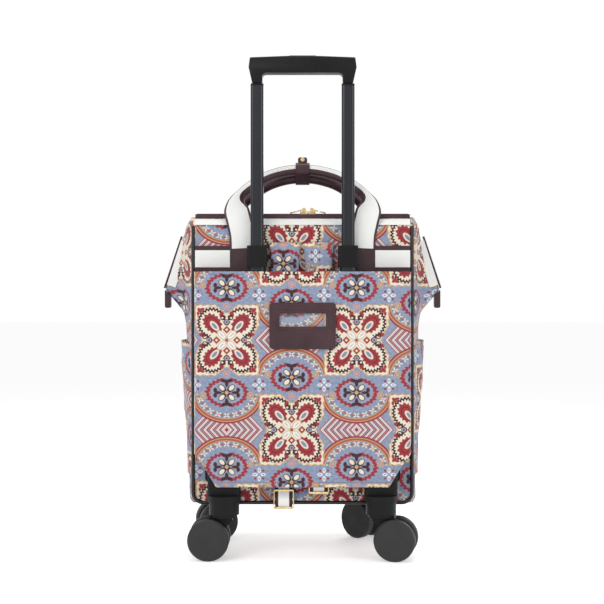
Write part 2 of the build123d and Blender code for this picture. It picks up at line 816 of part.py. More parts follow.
def tube_outline(width, thick):
    """Rounded rectangle radius shared by all stages."""
    return 0.36 * min(width, thick)


def tube(sign, foot, top, width, thick, grooves):
    """One hollow stage at a side, with two shallow grooves down its face if it has them."""
    with BuildPart() as stage:
        with BuildSketch(Plane.XY.offset(foot)):
            with Locations((sign * tube_x, tube_y)):
                RectangleRounded(width, thick, tube_outline(width, thick))
                bore_width = width - 2 * tube_wall
                bore_thick = thick - 2 * tube_wall
                RectangleRounded(
                    bore_width, bore_thick, tube_outline(bore_width, bore_thick), mode=Mode.SUBTRACT
                )
            if grooves:
                for way in (-1, 1):
                    with Locations((sign * tube_x + way * width / 4, tube_y - thick / 2)):
                        Rectangle(groove_width, 2 * groove_depth, mode=Mode.SUBTRACT)
        extrude(amount=top - foot)
    return stage


middle_foot = middle_top - middle_length
inner_foot = neck_z - inner_length
stages = {
    "outer": (outer_foot, outer_top, outer_width, outer_thick, False),
    "middle": (middle_foot, middle_top, middle_width, middle_thick, True),
    "inner": (inner_foot, neck_z, inner_width, inner_thick, False),
}
for stage_name, spec in stages.items():
    for name, sign in SIDES.items():
        stage = tube(sign, *spec)
        save(stage, f"{stage_name}_tube_{name}")

# Guides on the outer tubes: each holds the tube's top and keeps the middle stage straight
guide_width, guide_height = 29.0, 28.5
guide_lip = 3.0
guide_back = rear_y - 2 * seat - patch
guide_front = tube_y - outer_thick / 2 - 2.4
with BuildPart() as tube_guides:
    for sign in SIDES.values():
        with BuildSketch(Plane.XY.offset(outer_top + guide_lip - guide_height - guide_lip)):
            with Locations((sign * tube_x, (guide_back + guide_front) / 2)):
                RectangleRounded(guide_width, guide_back - guide_front, 3)
        extrude(amount=guide_height + guide_lip)
        with BuildSketch(Plane.XY.offset(outer_top - 2 * guide_height)):
            with Locations((sign * tube_x, tube_y)):
                width = outer_width + 2 * press
                thick = outer_thick + 2 * press
                RectangleRounded(width, thick, tube_outline(width, thick))
        extrude(amount=2 * guide_height + press, mode=Mode.SUBTRACT)
        with BuildSketch(Plane.XY.offset(outer_top - press)):
            with Locations((sign * tube_x, tube_y)):
                width = middle_width + 2 * slide_gap
                thick = middle_thick + 2 * slide_gap
                RectangleRounded(width, thick, tube_outline(width, thick))
        extrude(amount=2 * guide_lip, mode=Mode.SUBTRACT)
save(tube_guides, "tube_guides")

# Collars plugged on the middle tubes: each keeps an inner tube straight
collar_plug = 12.0
with BuildPart() as stage_collars:
    for sign in SIDES.values():
        with BuildSketch(Plane.XY.offset(middle_top)):
            with Locations((sign * tube_x, tube_y)):
                RectangleRounded(middle_width, middle_thick, tube_outline(middle_width, middle_thick))
        extrude(amount=collar_height)
        with BuildSketch(Plane.XY.offset(middle_top)):
            with Locations((sign * tube_x, tube_y)):
                width = middle_width - 2 * tube_wall - 2 * press
                thick = middle_thick - 2 * tube_wall - 2 * press
                RectangleRounded(width, thick, tube_outline(width, thick))
        extrude(amount=-collar_plug)
        with BuildSketch(Plane.XY.offset(middle_top - 2 * collar_plug)):
            with Locations((sign * tube_x, tube_y)):
                width = inner_width + 2 * slide_gap
                thick = inner_thick + 2 * slide_gap
                RectangleRounded(width, thick, tube_outline(width, thick))
        extrude(amount=3 * collar_plug, mode=Mode.SUBTRACT)
save(stage_collars, "stage_collars")

# Grip: a moulded bar on two tapered necks, hollow for the button's linkage
half_grip = grip_width / 2
neck_in = tube_x - neck_half
neck_out = tube_x + neck_half
arch_corner = 13.0
arch_radius = 14.0
crown_drop = 2.2
link_top = grip_under + 14.0
link_low = link_top - rod
end_top = grip_top - crown_drop
end_round = 9.0
face_lean = 4.0
with BuildPart() as grip:
    with BuildSketch(Plane.XZ.offset(-tube_y)):
        with BuildLine():
            ThreePointArc((-half_grip + end_round, end_top), (0, grip_top), (half_grip - end_round, end_top))
            RadiusArc((half_grip - end_round, end_top), (half_grip, end_top - end_round), -end_round)
            Polyline((half_grip, end_top - end_round), (half_grip, grip_under), (neck_out, neck_z))
            Line((neck_out, neck_z), (neck_in, neck_z))
            RadiusArc((neck_in, neck_z), (neck_in - arch_corner, grip_under), arch_radius)
            Line((neck_in - arch_corner, grip_under), (arch_corner - neck_in, grip_under))
            RadiusArc((arch_corner - neck_in, grip_under), (-neck_in, neck_z), arch_radius)
            Line((-neck_in, neck_z), (-neck_out, neck_z))
            Polyline((-neck_out, neck_z), (-half_grip, grip_under), (-half_grip, end_top - end_round))
            RadiusArc((-half_grip, end_top - end_round), (-half_grip + end_round, end_top), -end_round)
        make_face()
    extrude(amount=grip_depth / 2, both=True)
    with BuildSketch(Plane.YZ):
        with BuildLine():
            Polyline(
                (tube_y - grip_depth / 2 + 2.0, neck_z),
                (tube_y - grip_depth / 2, grip_under),
                (tube_y - grip_depth / 2, grip_edge),
                (tube_y - grip_depth / 2 + face_lean, grip_top),
                (tube_y + grip_depth / 2 - face_lean, grip_top),
                (tube_y + grip_depth / 2, grip_edge),
                (tube_y + grip_depth / 2, grip_under),
                (tube_y + grip_depth / 2 - 2.0, neck_z),
                close=True,
            )
        make_face()
    extrude(amount=grip_width, both=True, mode=Mode.INTERSECT)
    with BuildSketch(Plane.XY.offset(grip_top)):
        with Locations((0, tube_y)):
            RectangleRounded(button_length + 4 * slide_gap, button_width + 4 * slide_gap, 3)
    extrude(amount=link_top - button_travel - seat - grip_top, mode=Mode.SUBTRACT)
    with BuildSketch(Plane.XY.offset(link_low - button_travel - seat)):
        with Locations((0, tube_y)):
            Rectangle(2 * tube_x + 2 * rod, rod + 4 * slide_gap)
    extrude(amount=rod + button_travel + 2 * seat, mode=Mode.SUBTRACT)
    with BuildSketch(Plane.XY.offset(neck_z)):
        with Locations((-tube_x, tube_y), (tube_x, tube_y)):
            Circle(rod / 2 + 2 * slide_gap)
    extrude(amount=link_low - neck_z, mode=Mode.SUBTRACT)
save(grip, "grip")

with BuildPart() as grip_button:
    with BuildSketch(Plane.XY.offset(link_top)):
        with Locations((0, tube_y)):
            RectangleRounded(button_length, button_width, 2.6)
    extrude(amount=grip_top + 0.8 - link_top)
    fillet(grip_button.faces().sort_by(Axis.Z)[-1].edges(), 0.8)
save(grip_button, "grip_button")

rod_foot = inner_foot + 20.0
with BuildPart() as lock_rods:
    with BuildSketch(Plane.XY.offset(link_low)):
        with Locations((0, tube_y)):
            Rectangle(2 * tube_x + rod, rod)
    extrude(amount=rod)
    with BuildSketch(Plane.XY.offset(rod_foot)):
        with Locations((-tube_x, tube_y), (tube_x, tube_y)):
            Circle(rod / 2)
    extrude(amount=link_low - rod_foot)
save(lock_rods, "lock_rods")

# Trolley bracket: screwed to the back panel, it seats the outer tubes and the near casters
socket_width = outer_width + 6.0
socket_back = rear_y - seat
socket_front = tube_y - outer_thick / 2 - 3.0
socket_top = outer_foot + 22.0
with BuildPart() as base_bracket:
    with BuildSketch(Plane.XZ.offset(-rear_y + seat)):
        with Locations((0, (bracket_foot + bracket_top) / 2)):
            RectangleRounded(2 * bracket_half, bracket_top - bracket_foot, 8)
    extrude(amount=bracket_thick)
    with BuildSketch(Plane.XY.offset(bracket_foot)):
        for sign in SIDES.values():
            with Locations((sign * tube_x, (socket_back + socket_front) / 2)):
                RectangleRounded(socket_width, socket_back - socket_front, 3)
    extrude(amount=socket_top - bracket_foot)
    with BuildSketch(Plane.XY.offset(outer_foot)):
        for sign in SIDES.values():
            with Locations((sign * tube_x, tube_y)):
                width = outer_width + 2 * press
                thick = outer_thick + 2 * press
                RectangleRounded(width, thick, tube_outline(width, thick))
    extrude(amount=bracket_top, mode=Mode.SUBTRACT)
save(base_bracket, "base_bracket")

# Caster housings: the near pair stands up behind the flap, the far pair sits under the bag
housing_back = rear_y - bracket_thick - 2 * seat
housing_front = rear_y - flap_stand + flap_cloth + 1.5
with BuildPart() as caster_housings:
    for name, (x, y, turn) in casters.items():
        near = name.startswith("near")
        with BuildSketch(Plane.XY.offset(cap_foot)):
            with Locations((x, y)):
                Circle(cap_radius)
        extrude(amount=bag_bottom - seat - cap_foot)
        if near:
            with BuildSketch(Plane.XY.offset(bag_bottom - seat)):
                with Locations((x, y)):
                    Circle(cap_radius)
            extrude(amount=cap_lip - bag_bottom + seat)
            with BuildSketch(Plane.XY.offset(cap_lip)):
                with Locations((x, y)):
                    Circle(housing_half)
            extrude(amount=9.0)
            with BuildSketch(Plane.XY.offset(cap_lip)):
                with Locations((x, (housing_back + housing_front) / 2)):
                    RectangleRounded(2 * housing_half, housing_back - housing_front, 6)
            extrude(amount=housing_top - cap_lip)
            with BuildSketch(Plane.XY.offset(bag_bottom - bead - seat)):
                with Locations((x, housing_back + cap_radius)):
                    Rectangle(4 * cap_radius, 2 * cap_radius)
            extrude(amount=housing_top - bag_bottom + 2 * bead, mode=Mode.SUBTRACT)
        with BuildSketch(Plane.XY.offset(cap_foot)):
            with Locations((x, y)):
                Circle(kingpin_radius + turn_gap)
        extrude(amount=kingpin_length + 0.5, mode=Mode.SUBTRACT)
save(caster_housings, "caster_housings")

# Casters: each fork swivels on its kingpin and carries two wheels on one axle
fork_top = cap_foot - swivel_gap
wheel_near = fork_width / 2 + side_play
wheel_far = wheel_near + wheel_width
hub_round = 10.0
crown_thick = 3.6
for name, (x, y, turn) in casters.items():
    ahead = (cos(radians(turn)), sin(radians(turn)), 0)
    across = (-ahead[1], ahead[0], 0)
    side_plane = Plane((x, y, 0), x_dir=ahead, z_dir=(-across[0], -across[1], 0))
    with BuildPart() as fork:
        with BuildSketch(side_plane):
            with BuildLine():
                Polyline(
                    (trail - hub_round, wheel_radius),
                    (-4.0, wheel_radius + 18.0),
                    (-12.0, fork_top - 8.0),
                    (-12.0, fork_top),
                    (trail - 2.0, fork_top),
                    (trail + hub_round, wheel_radius),
                )
                RadiusArc((trail + hub_round, wheel_radius), (trail - hub_round, wheel_radius), hub_round)
            make_face()
        extrude(amount=fork_width / 2, both=True)
        with BuildSketch(Plane.XY.offset(fork_top)):
            with Locations((x, y)):
                Circle(cap_radius - 3.0)
        extrude(amount=-crown_thick)
        with BuildSketch(Plane.XY.offset(fork_top)):
            with Locations((x, y)):
                Circle(kingpin_radius)
        extrude(amount=kingpin_length)
        with BuildSketch(side_plane):
            with Locations((trail, wheel_radius)):
                Circle(axle_radius)
        extrude(amount=wheel_near + axle_hold, both=True)
    save(fork, f"fork_{name}")

    axle = Vector(x, y, wheel_radius) + Vector(*ahead) * trail
    for place, way in (("a", 1), ("b", -1)):
        outward = Vector(*across) * way
        wheel_plane = Plane(axle, x_dir=outward, z_dir=outward.cross(Vector(0, 0, 1)))
        with BuildPart() as wheel:
            with BuildSketch(wheel_plane):
                with BuildLine():
                    Polyline(
                        (wheel_near, axle_radius + turn_gap),
                        (wheel_near, wheel_radius - wheel_bevel),
                        (wheel_near + wheel_bevel, wheel_radius),
                        (wheel_far - wheel_bevel, wheel_radius),
                        (wheel_far, wheel_radius - wheel_bevel),
                        (wheel_far, 0),
                        (wheel_near + axle_hold + 0.5, 0),
                        (wheel_near + axle_hold + 0.5, axle_radius + turn_gap),
                        close=True,
                    )
                make_face()
            revolve(axis=Axis(axle, outward))
        save(wheel, f"wheel_{name}_{place}")
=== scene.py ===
import json
from functools import reduce
from math import cos, exp, pi, radians, sin, sqrt

import bpy
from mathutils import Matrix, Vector, noise


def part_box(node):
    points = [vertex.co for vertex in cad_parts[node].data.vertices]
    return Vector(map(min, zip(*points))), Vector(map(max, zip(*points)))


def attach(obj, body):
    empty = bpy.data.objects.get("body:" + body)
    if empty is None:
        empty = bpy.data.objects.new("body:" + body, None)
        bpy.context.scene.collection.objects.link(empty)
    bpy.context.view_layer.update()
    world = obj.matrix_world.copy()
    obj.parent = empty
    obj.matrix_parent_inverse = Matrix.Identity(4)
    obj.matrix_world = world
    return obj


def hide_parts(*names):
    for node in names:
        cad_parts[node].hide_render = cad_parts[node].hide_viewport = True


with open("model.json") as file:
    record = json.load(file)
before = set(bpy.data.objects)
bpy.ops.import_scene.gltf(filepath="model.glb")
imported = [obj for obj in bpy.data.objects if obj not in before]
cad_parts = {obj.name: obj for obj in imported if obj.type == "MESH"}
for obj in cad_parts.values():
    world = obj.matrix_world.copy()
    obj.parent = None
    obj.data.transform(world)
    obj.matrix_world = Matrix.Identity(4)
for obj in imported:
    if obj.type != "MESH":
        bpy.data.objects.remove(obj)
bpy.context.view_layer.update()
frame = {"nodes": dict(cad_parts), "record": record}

scene = bpy.context.scene
bpy.ops.object.select_all(action="DESELECT")

# The frame is in metres; sewn pieces are laid out in millimetres, with x and z as the frame has
# them. REAR is the plane of the bag's rear panel, which faces the camera.
MM = 0.001
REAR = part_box("bag_shell")[0][1]
REAR_MM = REAR / MM
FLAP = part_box("flap_panel")

# Camera: level, on the bag's middle line, where the photograph was taken from
CAMERA_HEIGHT = 0.373
CAMERA_DISTANCE = 1.75
LENS = 70.9
SENSOR = 36.0
FRAME_PIXELS = 604
MIDDLE_PIXEL = 302.6

camera_data = bpy.data.cameras.new("camera")
camera = bpy.data.objects.new("camera", camera_data)
scene.collection.objects.link(camera)
camera.location = (0.0, REAR - CAMERA_DISTANCE, CAMERA_HEIGHT)
camera.rotation_euler = (radians(90), 0, 0)
camera_data.lens = LENS
camera_data.sensor_width = SENSOR
camera_data.shift_x = (FRAME_PIXELS / 2 - MIDDLE_PIXEL) / FRAME_PIXELS
scene.camera = camera

# Light: two large soft boxes in front, one above, one behind, and an even pale surround
SOFT_BOX = 1.2
MIDDLE, UPPER = (0, 0, 0.35), (0, 0, 0.4)
SURROUND_SEEN, SURROUND_LIGHT = 1.0, 0.55
scene.view_settings.view_transform = "Standard"


def area_light(name, place, aim, power):
    """A square soft box at place, turned towards aim."""
    data = bpy.data.lights.new(name, "AREA")
    data.size = SOFT_BOX
    data.energy = power
    light = bpy.data.objects.new(name, data)
    scene.collection.objects.link(light)
    light.location = place
    light.rotation_euler = (Vector(aim) - Vector(place)).to_track_quat("-Z", "Y").to_euler()


area_light("key", (-1.1, REAR - 1.5, 1.3), MIDDLE, 19)
area_light("fill", (1.4, REAR - 1.3, 0.9), MIDDLE, 10)
area_light("top", (0.0, 0.1, 1.9), UPPER, 12)
area_light("back", (0.5, 1.6, 1.2), UPPER, 10)


class Nodes:
    """A node tree under construction: short names for the nodes that it needs."""

    def __init__(self, tree):
        self.nodes = tree.nodes
        self.links = tree.links

    def put(self, socket, value):
        """Link a node's output to a socket, or set the socket to a plain value."""
        if isinstance(value, bpy.types.NodeSocket):
            self.links.new(value, socket)
        else:
            socket.default_value = value

    def math(self, operation, a, b=0.0, c=0.0, clamp=False):
        node = self.nodes.new("ShaderNodeMath")
        node.operation = operation
        node.use_clamp = clamp
        for socket, value in zip(node.inputs, (a, b, c)):
            self.put(socket, value)
        return node.outputs[0]

    def plus(self, a, b):
        return self.math("ADD", a, b)

    def minus(self, a, b):
        return self.math("SUBTRACT", a, b)

    def times(self, a, b):
        return self.math("MULTIPLY", a, b)

    def size(self, value):
        return self.math("ABSOLUTE", value)

    def span(self, value, low, high, to_low=0.0, to_high=1.0):
        """Carry the range from low to high over to another range, and no further."""
        node = self.nodes.new("ShaderNodeMapRange")
        self.put(node.inputs["Value"], value)
        for key, number in (
            ("From Min", low), ("From Max", high), ("To Min", to_low), ("To Max", to_high)
        ):
            self.put(node.inputs[key], number)
        return node.outputs[0]


# The surround is white to the camera and to what mirrors or lets through, and dimmer as a light
world = bpy.data.worlds.new("surround")
scene.world = world
world.use_nodes = True
surround = Nodes(world.node_tree)
background = surround.nodes["Background"]
rays = surround.nodes.new("ShaderNodeLightPath").outputs
seen_by = surround.plus(rays["Is Camera Ray"], rays["Is Transmission Ray"])
seen_by = surround.math("ADD", seen_by, rays["Is Glossy Ray"], clamp=True)
strength = surround.span(seen_by, 0.0, 1.0, SURROUND_LIGHT, SURROUND_SEEN)
surround.put(background.inputs["Strength"], strength)
background.inputs["Color"].default_value = (1, 1, 1, 1)


# Materials
class Shade(Nodes):
    """A material under construction."""

    def __init__(self, name):
        self.material = bpy.data.materials.new(name)
        self.material.use_nodes = True
        super().__init__(self.material.node_tree)
        self.shader = self.nodes["Principled BSDF"]

    def split(self, vector):
        node = self.nodes.new("ShaderNodeSeparateXYZ")
        self.put(node.inputs[0], vector)
        return node.outputs

    def join(self, x, y, z=0.0):
        node = self.nodes.new("ShaderNodeCombineXYZ")
        for socket, value in zip(node.inputs, (x, y, z)):
            self.put(socket, value)
        return node.outputs[0]

    def coordinates(self, kind="Object"):
        return self.nodes.new("ShaderNodeTexCoord").outputs[kind]

    def noise(self, vector, scale, detail=2.0):
        node = self.nodes.new("ShaderNodeTexNoise")
        self.put(node.inputs["Vector"], vector)
        node.inputs["Scale"].default_value = scale
        node.inputs["Detail"].default_value = detail
        return node.outputs[0]

    def cells(self, vector, scale):
        node = self.nodes.new("ShaderNodeTexVoronoi")
        self.put(node.inputs["Vector"], vector)
        node.inputs["Scale"].default_value = scale
        return node.outputs[0]

    def mix(self, factor, a, b):
        node = self.nodes.new("ShaderNodeMix")
        node.data_type = "RGBA"
        self.put(node.inputs[0], factor)
        for socket, value in ((node.inputs[6], a), (node.inputs[7], b)):
            if isinstance(value, tuple) and len(value) == 3:
                value = (*value, 1.0)
            self.put(socket, value)
        return node.outputs[2]

    def bump(self, height, distance, strength):
        node = self.nodes.new("ShaderNodeBump")
        node.inputs["Strength"].default_value = strength
        node.inputs["Distance"].default_value = distance
        self.put(node.inputs["Height"], height)
        self.links.new(node.outputs[0], self.shader.inputs["Normal"])

    def finish(self, color, roughness, **plain):
        """Set the shader's colour and roughness, and any socket that is the same all over."""
        if isinstance(color, tuple):
            color = (*color, 1.0)
        self.put(self.shader.inputs["Base Color"], color)
        self.put(self.shader.inputs["Roughness"], roughness)
        for key, value in plain.items():
            self.shader.inputs[key.replace("_", " ")].default_value = value
        return self.material


def tinted(color, factor, lift=0.0):
    return tuple(factor * c + lift for c in color)


def moulded_plastic(name, color, roughness=0.42):
    """Moulded plastic: a fine spark grain and a little unevenness in the gloss."""
    shade = Shade(name)
    place = shade.coordinates()
    speck = shade.noise(place, 2600.0)
    cloud = shade.noise(place, 22.0, 3.0)
    shade.bump(speck, 0.00004, 0.6)
    rough = shade.span(cloud, 0.3, 0.7, roughness - 0.06, roughness + 0.08)
    tint = shade.mix(shade.span(cloud, 0.3, 0.75), color, tinted(color, 1.35))
    return shade.finish(tint, rough, Specular_IOR_Level=0.16)


def anodised_tube(name, color):
    """Black anodised tube: fine lengthwise drawing marks under a satin coat."""
    shade = Shade(name)
    x, y, z = shade.split(shade.coordinates())
    drawn = shade.noise(shade.join(shade.times(x, 3000.0), shade.times(y, 3000.0), z), 1.0)
    shade.bump(drawn, 0.00002, 0.5)
    rough = shade.span(drawn, 0.3, 0.7, 0.24, 0.36)
    return shade.finish(color, rough, Metallic=0.75)


def gilt(name):
    """Light gold plating with a trace of wear."""
    shade = Shade(name)
    cloud = shade.noise(shade.coordinates(), 160.0, 3.0)
    tint = shade.mix(shade.span(cloud, 0.35, 0.75), (0.72, 0.53, 0.27), (0.50, 0.35, 0.17))
    return shade.finish(tint, shade.span(cloud, 0.3, 0.7, 0.18, 0.32), Metallic=1.0)


def grained_leather(name, color):
    """Burgundy leather: pebbled cells, pores and a soft variation of colour."""
    shade = Shade(name)
    place = shade.coordinates()
    pebble = shade.cells(place, 620.0)
    pore = shade.noise(place, 1900.0)
    cloud = shade.noise(place, 35.0, 4.0)
    shade.bump(shade.plus(pebble, shade.times(pore, 0.35)), 0.00022, 0.55)
    tint = shade.mix(shade.span(cloud, 0.3, 0.72), color, tinted(color, 1.6, 0.004))
    rough = shade.span(cloud, 0.3, 0.7, 0.36, 0.5)
    return shade.finish(tint, rough, Specular_IOR_Level=0.32)


WEBBING = (0.78, 0.78, 0.76)
WEB_YARN = 1.05 * MM


def woven_webbing(name):
    """Flat webbing: a basket weave of yarns, painted brighter on their crowns and with painted
    shade between them.
    """
    shade = Shade(name)
    place = shade.coordinates()
    x, _, z = shade.split(place)
    ribs = shade.math("SINE", shade.times(z, 2 * pi / WEB_YARN))
    cords = shade.math("SINE", shade.times(x, 2 * pi / (1.6 * WEB_YARN)))
    weave = shade.math("MULTIPLY_ADD", shade.times(ribs, cords), 0.5, 0.5)
    shade.bump(weave, 0.00022, 0.7)
    # Painted shade: a darker copy of the webbing's colour, laid between the weave's crowns, and
    # also the colour of the soil
    shade_and_soil = tinted(WEBBING, 0.8)
    tint = shade.mix(weave, shade_and_soil, WEBBING)
    soil = shade.span(shade.noise(place, 60.0, 3.0), 0.45, 0.8, 0.0, 0.25)
    return shade.finish(shade.mix(soil, tint, shade_and_soil), 0.85, Sheen_Weight=0.25)


def smooth_rubber(name, color):
    """Wheel tread and face: dull moulded polyurethane with a faint grain."""
    shade = Shade(name)
    place = shade.coordinates()
    cloud = shade.noise(place, 70.0, 3.0)
    shade.bump(shade.noise(place, 1500.0), 0.00005, 0.5)
    rough = shade.span(cloud, 0.3, 0.7, 0.5, 0.66)
    return shade.finish(shade.mix(cloud, color, tinted(color, 1.5)), rough)


def patent_piping(name):
    """Glossy coated piping with stitch puckers along it."""
    shade = Shade(name)
    x, _, z = shade.split(shade.coordinates())
    pucker = shade.math("SINE", shade.times(shade.plus(z, x), 2 * pi / (3.6 * MM)))
    shade.bump(pucker, 0.00018, 0.4)
    return shade.finish(
        (0.004, 0.004, 0.0045), 0.24, Coat_Weight=0.12, Specular_IOR_Level=0.35
    )


def plain_finish(name, color, roughness, **plain):
    """A finish with no pattern worth drawing at this size: only a faint unevenness."""
    shade = Shade(name)
    cloud = shade.noise(shade.coordinates(), 60.0, 3.0)
    rough = shade.span(cloud, 0.3, 0.7, roughness - 0.04, roughness + 0.05)
    return shade.finish(color, rough, **plain)


# Cloth: a traditional carpet ornament woven in nine colours, on a centred lattice, sizes in mm
PERIOD = (187.7, 259.0)
HALF = (PERIOD[0] / 2, PERIOD[1] / 2)
MEDALLION = 75.8  # from a cross flower's middle to the medallion under it
REAR_ORIGIN = (78.0, 317.8)
STRAP_ORIGIN = (-28.0, 246.0)
YARN = {
    "ground": (0.190, 0.235, 0.345),
    "cream": (0.73, 0.67, 0.54),
    "red": (0.300, 0.022, 0.032),
    "maroon": (0.048, 0.006, 0.010),
    "rust": (0.40, 0.095, 0.030),
    "tan": (0.53, 0.34, 0.17),
    "white": (0.74, 0.75, 0.76),
    "sky": (0.270, 0.325, 0.450),
    "pink": (0.55, 0.29, 0.28),
}


class Cloth(Shade):
    """The woven cloth: distances to simple shapes, in millimetres, painted one over another."""

    def vector(self, operation, a, b=(0.0, 0.0, 0.0)):
        node = self.nodes.new("ShaderNodeVectorMath")
        node.operation = operation
        self.put(node.inputs[0], a)
        self.put(node.inputs[1], b)
        return node.outputs["Value"] if operation == "LENGTH" else node.outputs[0]

    def local(self, place, middle, turn=0.0, radii=(1.0, 1.0)):
        """A place seen from a shape's own middle, turn and size."""
        node = self.nodes.new("ShaderNodeMapping")
        node.vector_type = "TEXTURE"
        self.put(node.inputs["Vector"], place)
        node.inputs["Location"].default_value = (middle[0], middle[1], 0.0)
        node.inputs["Rotation"].default_value = (0.0, 0.0, radians(turn))
        node.inputs["Scale"].default_value = (radii[0], radii[1], 1.0)
        return node.outputs[0]

    def mirrored(self, place, middle=(0.0, 0.0), turn=0.0):
        """A place seen from a middle, its four quarters folded into one."""
        return self.vector("ABSOLUTE", self.local(place, middle, turn))

    def oval(self, place, middle, radii, turn=0.0):
        """Distance outside an oval."""
        near = self.vector("LENGTH", self.local(place, middle, turn, radii))
        return self.math("MULTIPLY_ADD", near, min(radii), -min(radii))

    def ovals(self, place, *shapes):
        """Distance outside the nearest oval: each is a middle, two radii and perhaps a turn."""
        return self.least(*(self.oval(place, *shape) for shape in shapes))

    def disc(self, place, middle, radius):
        return self.oval(place, middle, (radius, radius))

    def ring(self, distance, half):
        """Distance outside a line of the given half width, drawn where distance is nought."""
        return self.minus(self.size(distance), half)

    def diamond(self, place, middle, half):
        """Distance outside a square that stands on its corner."""
        x, z, _ = self.split(self.mirrored(place, middle))
        return self.minus(self.plus(x, z), half)

    def frill(self, place, middle, lobes, depth, radii=(1.0, 1.0)):
        """A wave round a middle: what makes a plain outline leafy."""
        x, z, _ = self.split(self.local(place, middle, 0.0, radii))
        angle = self.math("ARCTAN2", z, x)
        wave = self.math("SINE", self.times(angle, float(lobes)))
        return self.times(wave, depth)

    def scaled(self, color, factor):
        node = self.nodes.new("ShaderNodeVectorMath")
        node.operation = "SCALE"
        self.put(node.inputs[0], color)
        node.inputs["Scale"].default_value = factor
        return node.outputs[0]

    def least(self, *distances):
        return reduce(lambda a, b: self.math("MINIMUM", a, b), distances)

    def most(self, *distances):
        return reduce(lambda a, b: self.math("MAXIMUM", a, b), distances)

    def paint(self, below, distance, yarn, edge=0.35):
        """Lay one yarn over what is below wherever distance is under nought."""
        return self.mix(self.span(distance, edge, -edge), below, YARN[yarn])

    def coats(self, color, *layers):
        """Paint several layers in turn, each a distance and its yarn."""
        for distance, yarn in layers:
            color = self.paint(color, distance, yarn)
        return color


def fold_lattice(cloth, place, origin):
    """Bring every point into the one triangle that the ornament repeats, in millimetres."""
    x, z, _ = cloth.split(place)
    x = cloth.math("PINGPONG", cloth.minus(cloth.times(x, 1000.0), origin[0]), HALF[0])
    z = cloth.math("PINGPONG", cloth.minus(cloth.times(z, 1000.0), origin[1]), HALF[1])
    share = cloth.plus(cloth.math("DIVIDE", x, HALF[0]), cloth.math("DIVIDE", z, HALF[1]))
    beyond = cloth.math("GREATER_THAN", share, 1.0)
    folded = []
    for reach, half in ((x, HALF[0]), (z, HALF[1])):
        change = cloth.minus(cloth.minus(half, reach), reach)
        folded.append(cloth.plus(reach, cloth.times(beyond, change)))
    return cloth.join(*folded)


ARC_SQUASH = 0.827
FAN_EDGE, OUT_OF_REACH = 2.0, 200.0
CHEVRON_SLOPE, CHEVRON_PITCH = 0.95, 9.2
CHEVRON_END, CHEVRON_RISE, CHEVRON_START = 54.0, 40.0, 44.0
# Each stripe: its middle within a chevron's pitch, its half width and its yarn
CHEVRON_STRIPES = (
    (1.0, 1.0, "red"), (3.0, 0.45, "cream"), (5.0, 0.7, "white"), (7.3, 1.1, "rust"),
)
CHEVRON_EYE = ((7.4, "white"), (5.6, "rust"), (4.6, "white"), (3.4, "red"))
# Each band of the twin arcs: its radius, its half width and its yarn
ARC_BANDS = (
    (34.5, 4.4, "ground"), (37.8, 0.5, "tan"), (39.9, 1.5, "rust"), (41.8, 0.5, "tan"),
    (43.6, 1.2, "red"),
)
FLOWER_RADIUS, FLOWER_TURN = 33.0, radians(18.0)
FLOWER_HALF, FLOWER_PETAL = 3.4, 1.15


def paint_arcs(cloth, place, below):
    """Bands of small flowers and twin arcs beyond each medallion, and chevrons between them."""
    _, z, _ = cloth.split(place)
    fans = []
    for middle, side in (((0.0, MEDALLION), 1.0), ((HALF[0], HALF[1] - MEDALLION), -1.0)):
        seen = cloth.local(place, middle, 0.0, (1 / ARC_SQUASH, 1.0))
        far_side = cloth.times(cloth.minus(z, middle[1]), side)
        behind = cloth.math("LESS_THAN", far_side, FAN_EDGE)
        reach = cloth.vector("LENGTH", seen)
        fans.append((cloth.math("MULTIPLY_ADD", behind, OUT_OF_REACH, reach), seen))
    reach = cloth.least(fans[0][0], fans[1][0])

    steps = []
    for middle in ((0.0, HALF[1]), (HALF[0], 0.0)):
        across, rise, _ = cloth.split(cloth.mirrored(place, middle))
        steps.append((cloth.math("MULTIPLY_ADD", rise, CHEVRON_SLOPE, across), rise))
    step, rise = (cloth.least(*pair) for pair in zip(*steps))
    zone = cloth.most(
        cloth.minus(step, CHEVRON_END),
        cloth.minus(rise, CHEVRON_RISE),
        cloth.minus(CHEVRON_START, reach),
    )
    color = cloth.paint(below, zone, "sky")
    stripe = cloth.math("WRAP", step, CHEVRON_PITCH, 0.0)
    for middle, half, yarn in CHEVRON_STRIPES:
        line = cloth.ring(cloth.minus(stripe, middle), half)
        color = cloth.paint(color, cloth.most(line, zone), yarn)
    for half, yarn in CHEVRON_EYE:
        color = cloth.paint(color, cloth.most(cloth.minus(step, half), zone), yarn)
    for radius, half, yarn in ARC_BANDS:
        color = cloth.paint(color, cloth.ring(cloth.minus(reach, radius), half), yarn)

    for reach_here, seen in fans:
        sx, sz, _ = cloth.split(seen)
        angle = cloth.math("ARCTAN2", sz, sx)
        along = cloth.math("WRAP", angle, FLOWER_TURN / 2, -FLOWER_TURN / 2)
        along = cloth.size(cloth.times(along, FLOWER_RADIUS))
        out = cloth.size(cloth.minus(reach_here, FLOWER_RADIUS))
        petals = cloth.ring(cloth.minus(along, out), FLOWER_PETAL)
        bound = cloth.minus(cloth.most(along, out), FLOWER_HALF)
        color = cloth.paint(color, cloth.most(petals, bound), "cream", 0.5)
        beside = cloth.minus(cloth.plus(cloth.size(cloth.minus(along, 5.0)), out), 1.7)
        color = cloth.paint(color, beside, "rust", 0.5)
        color = cloth.paint(color, cloth.minus(cloth.plus(along, out), 1.0), "red", 0.4)
    return color


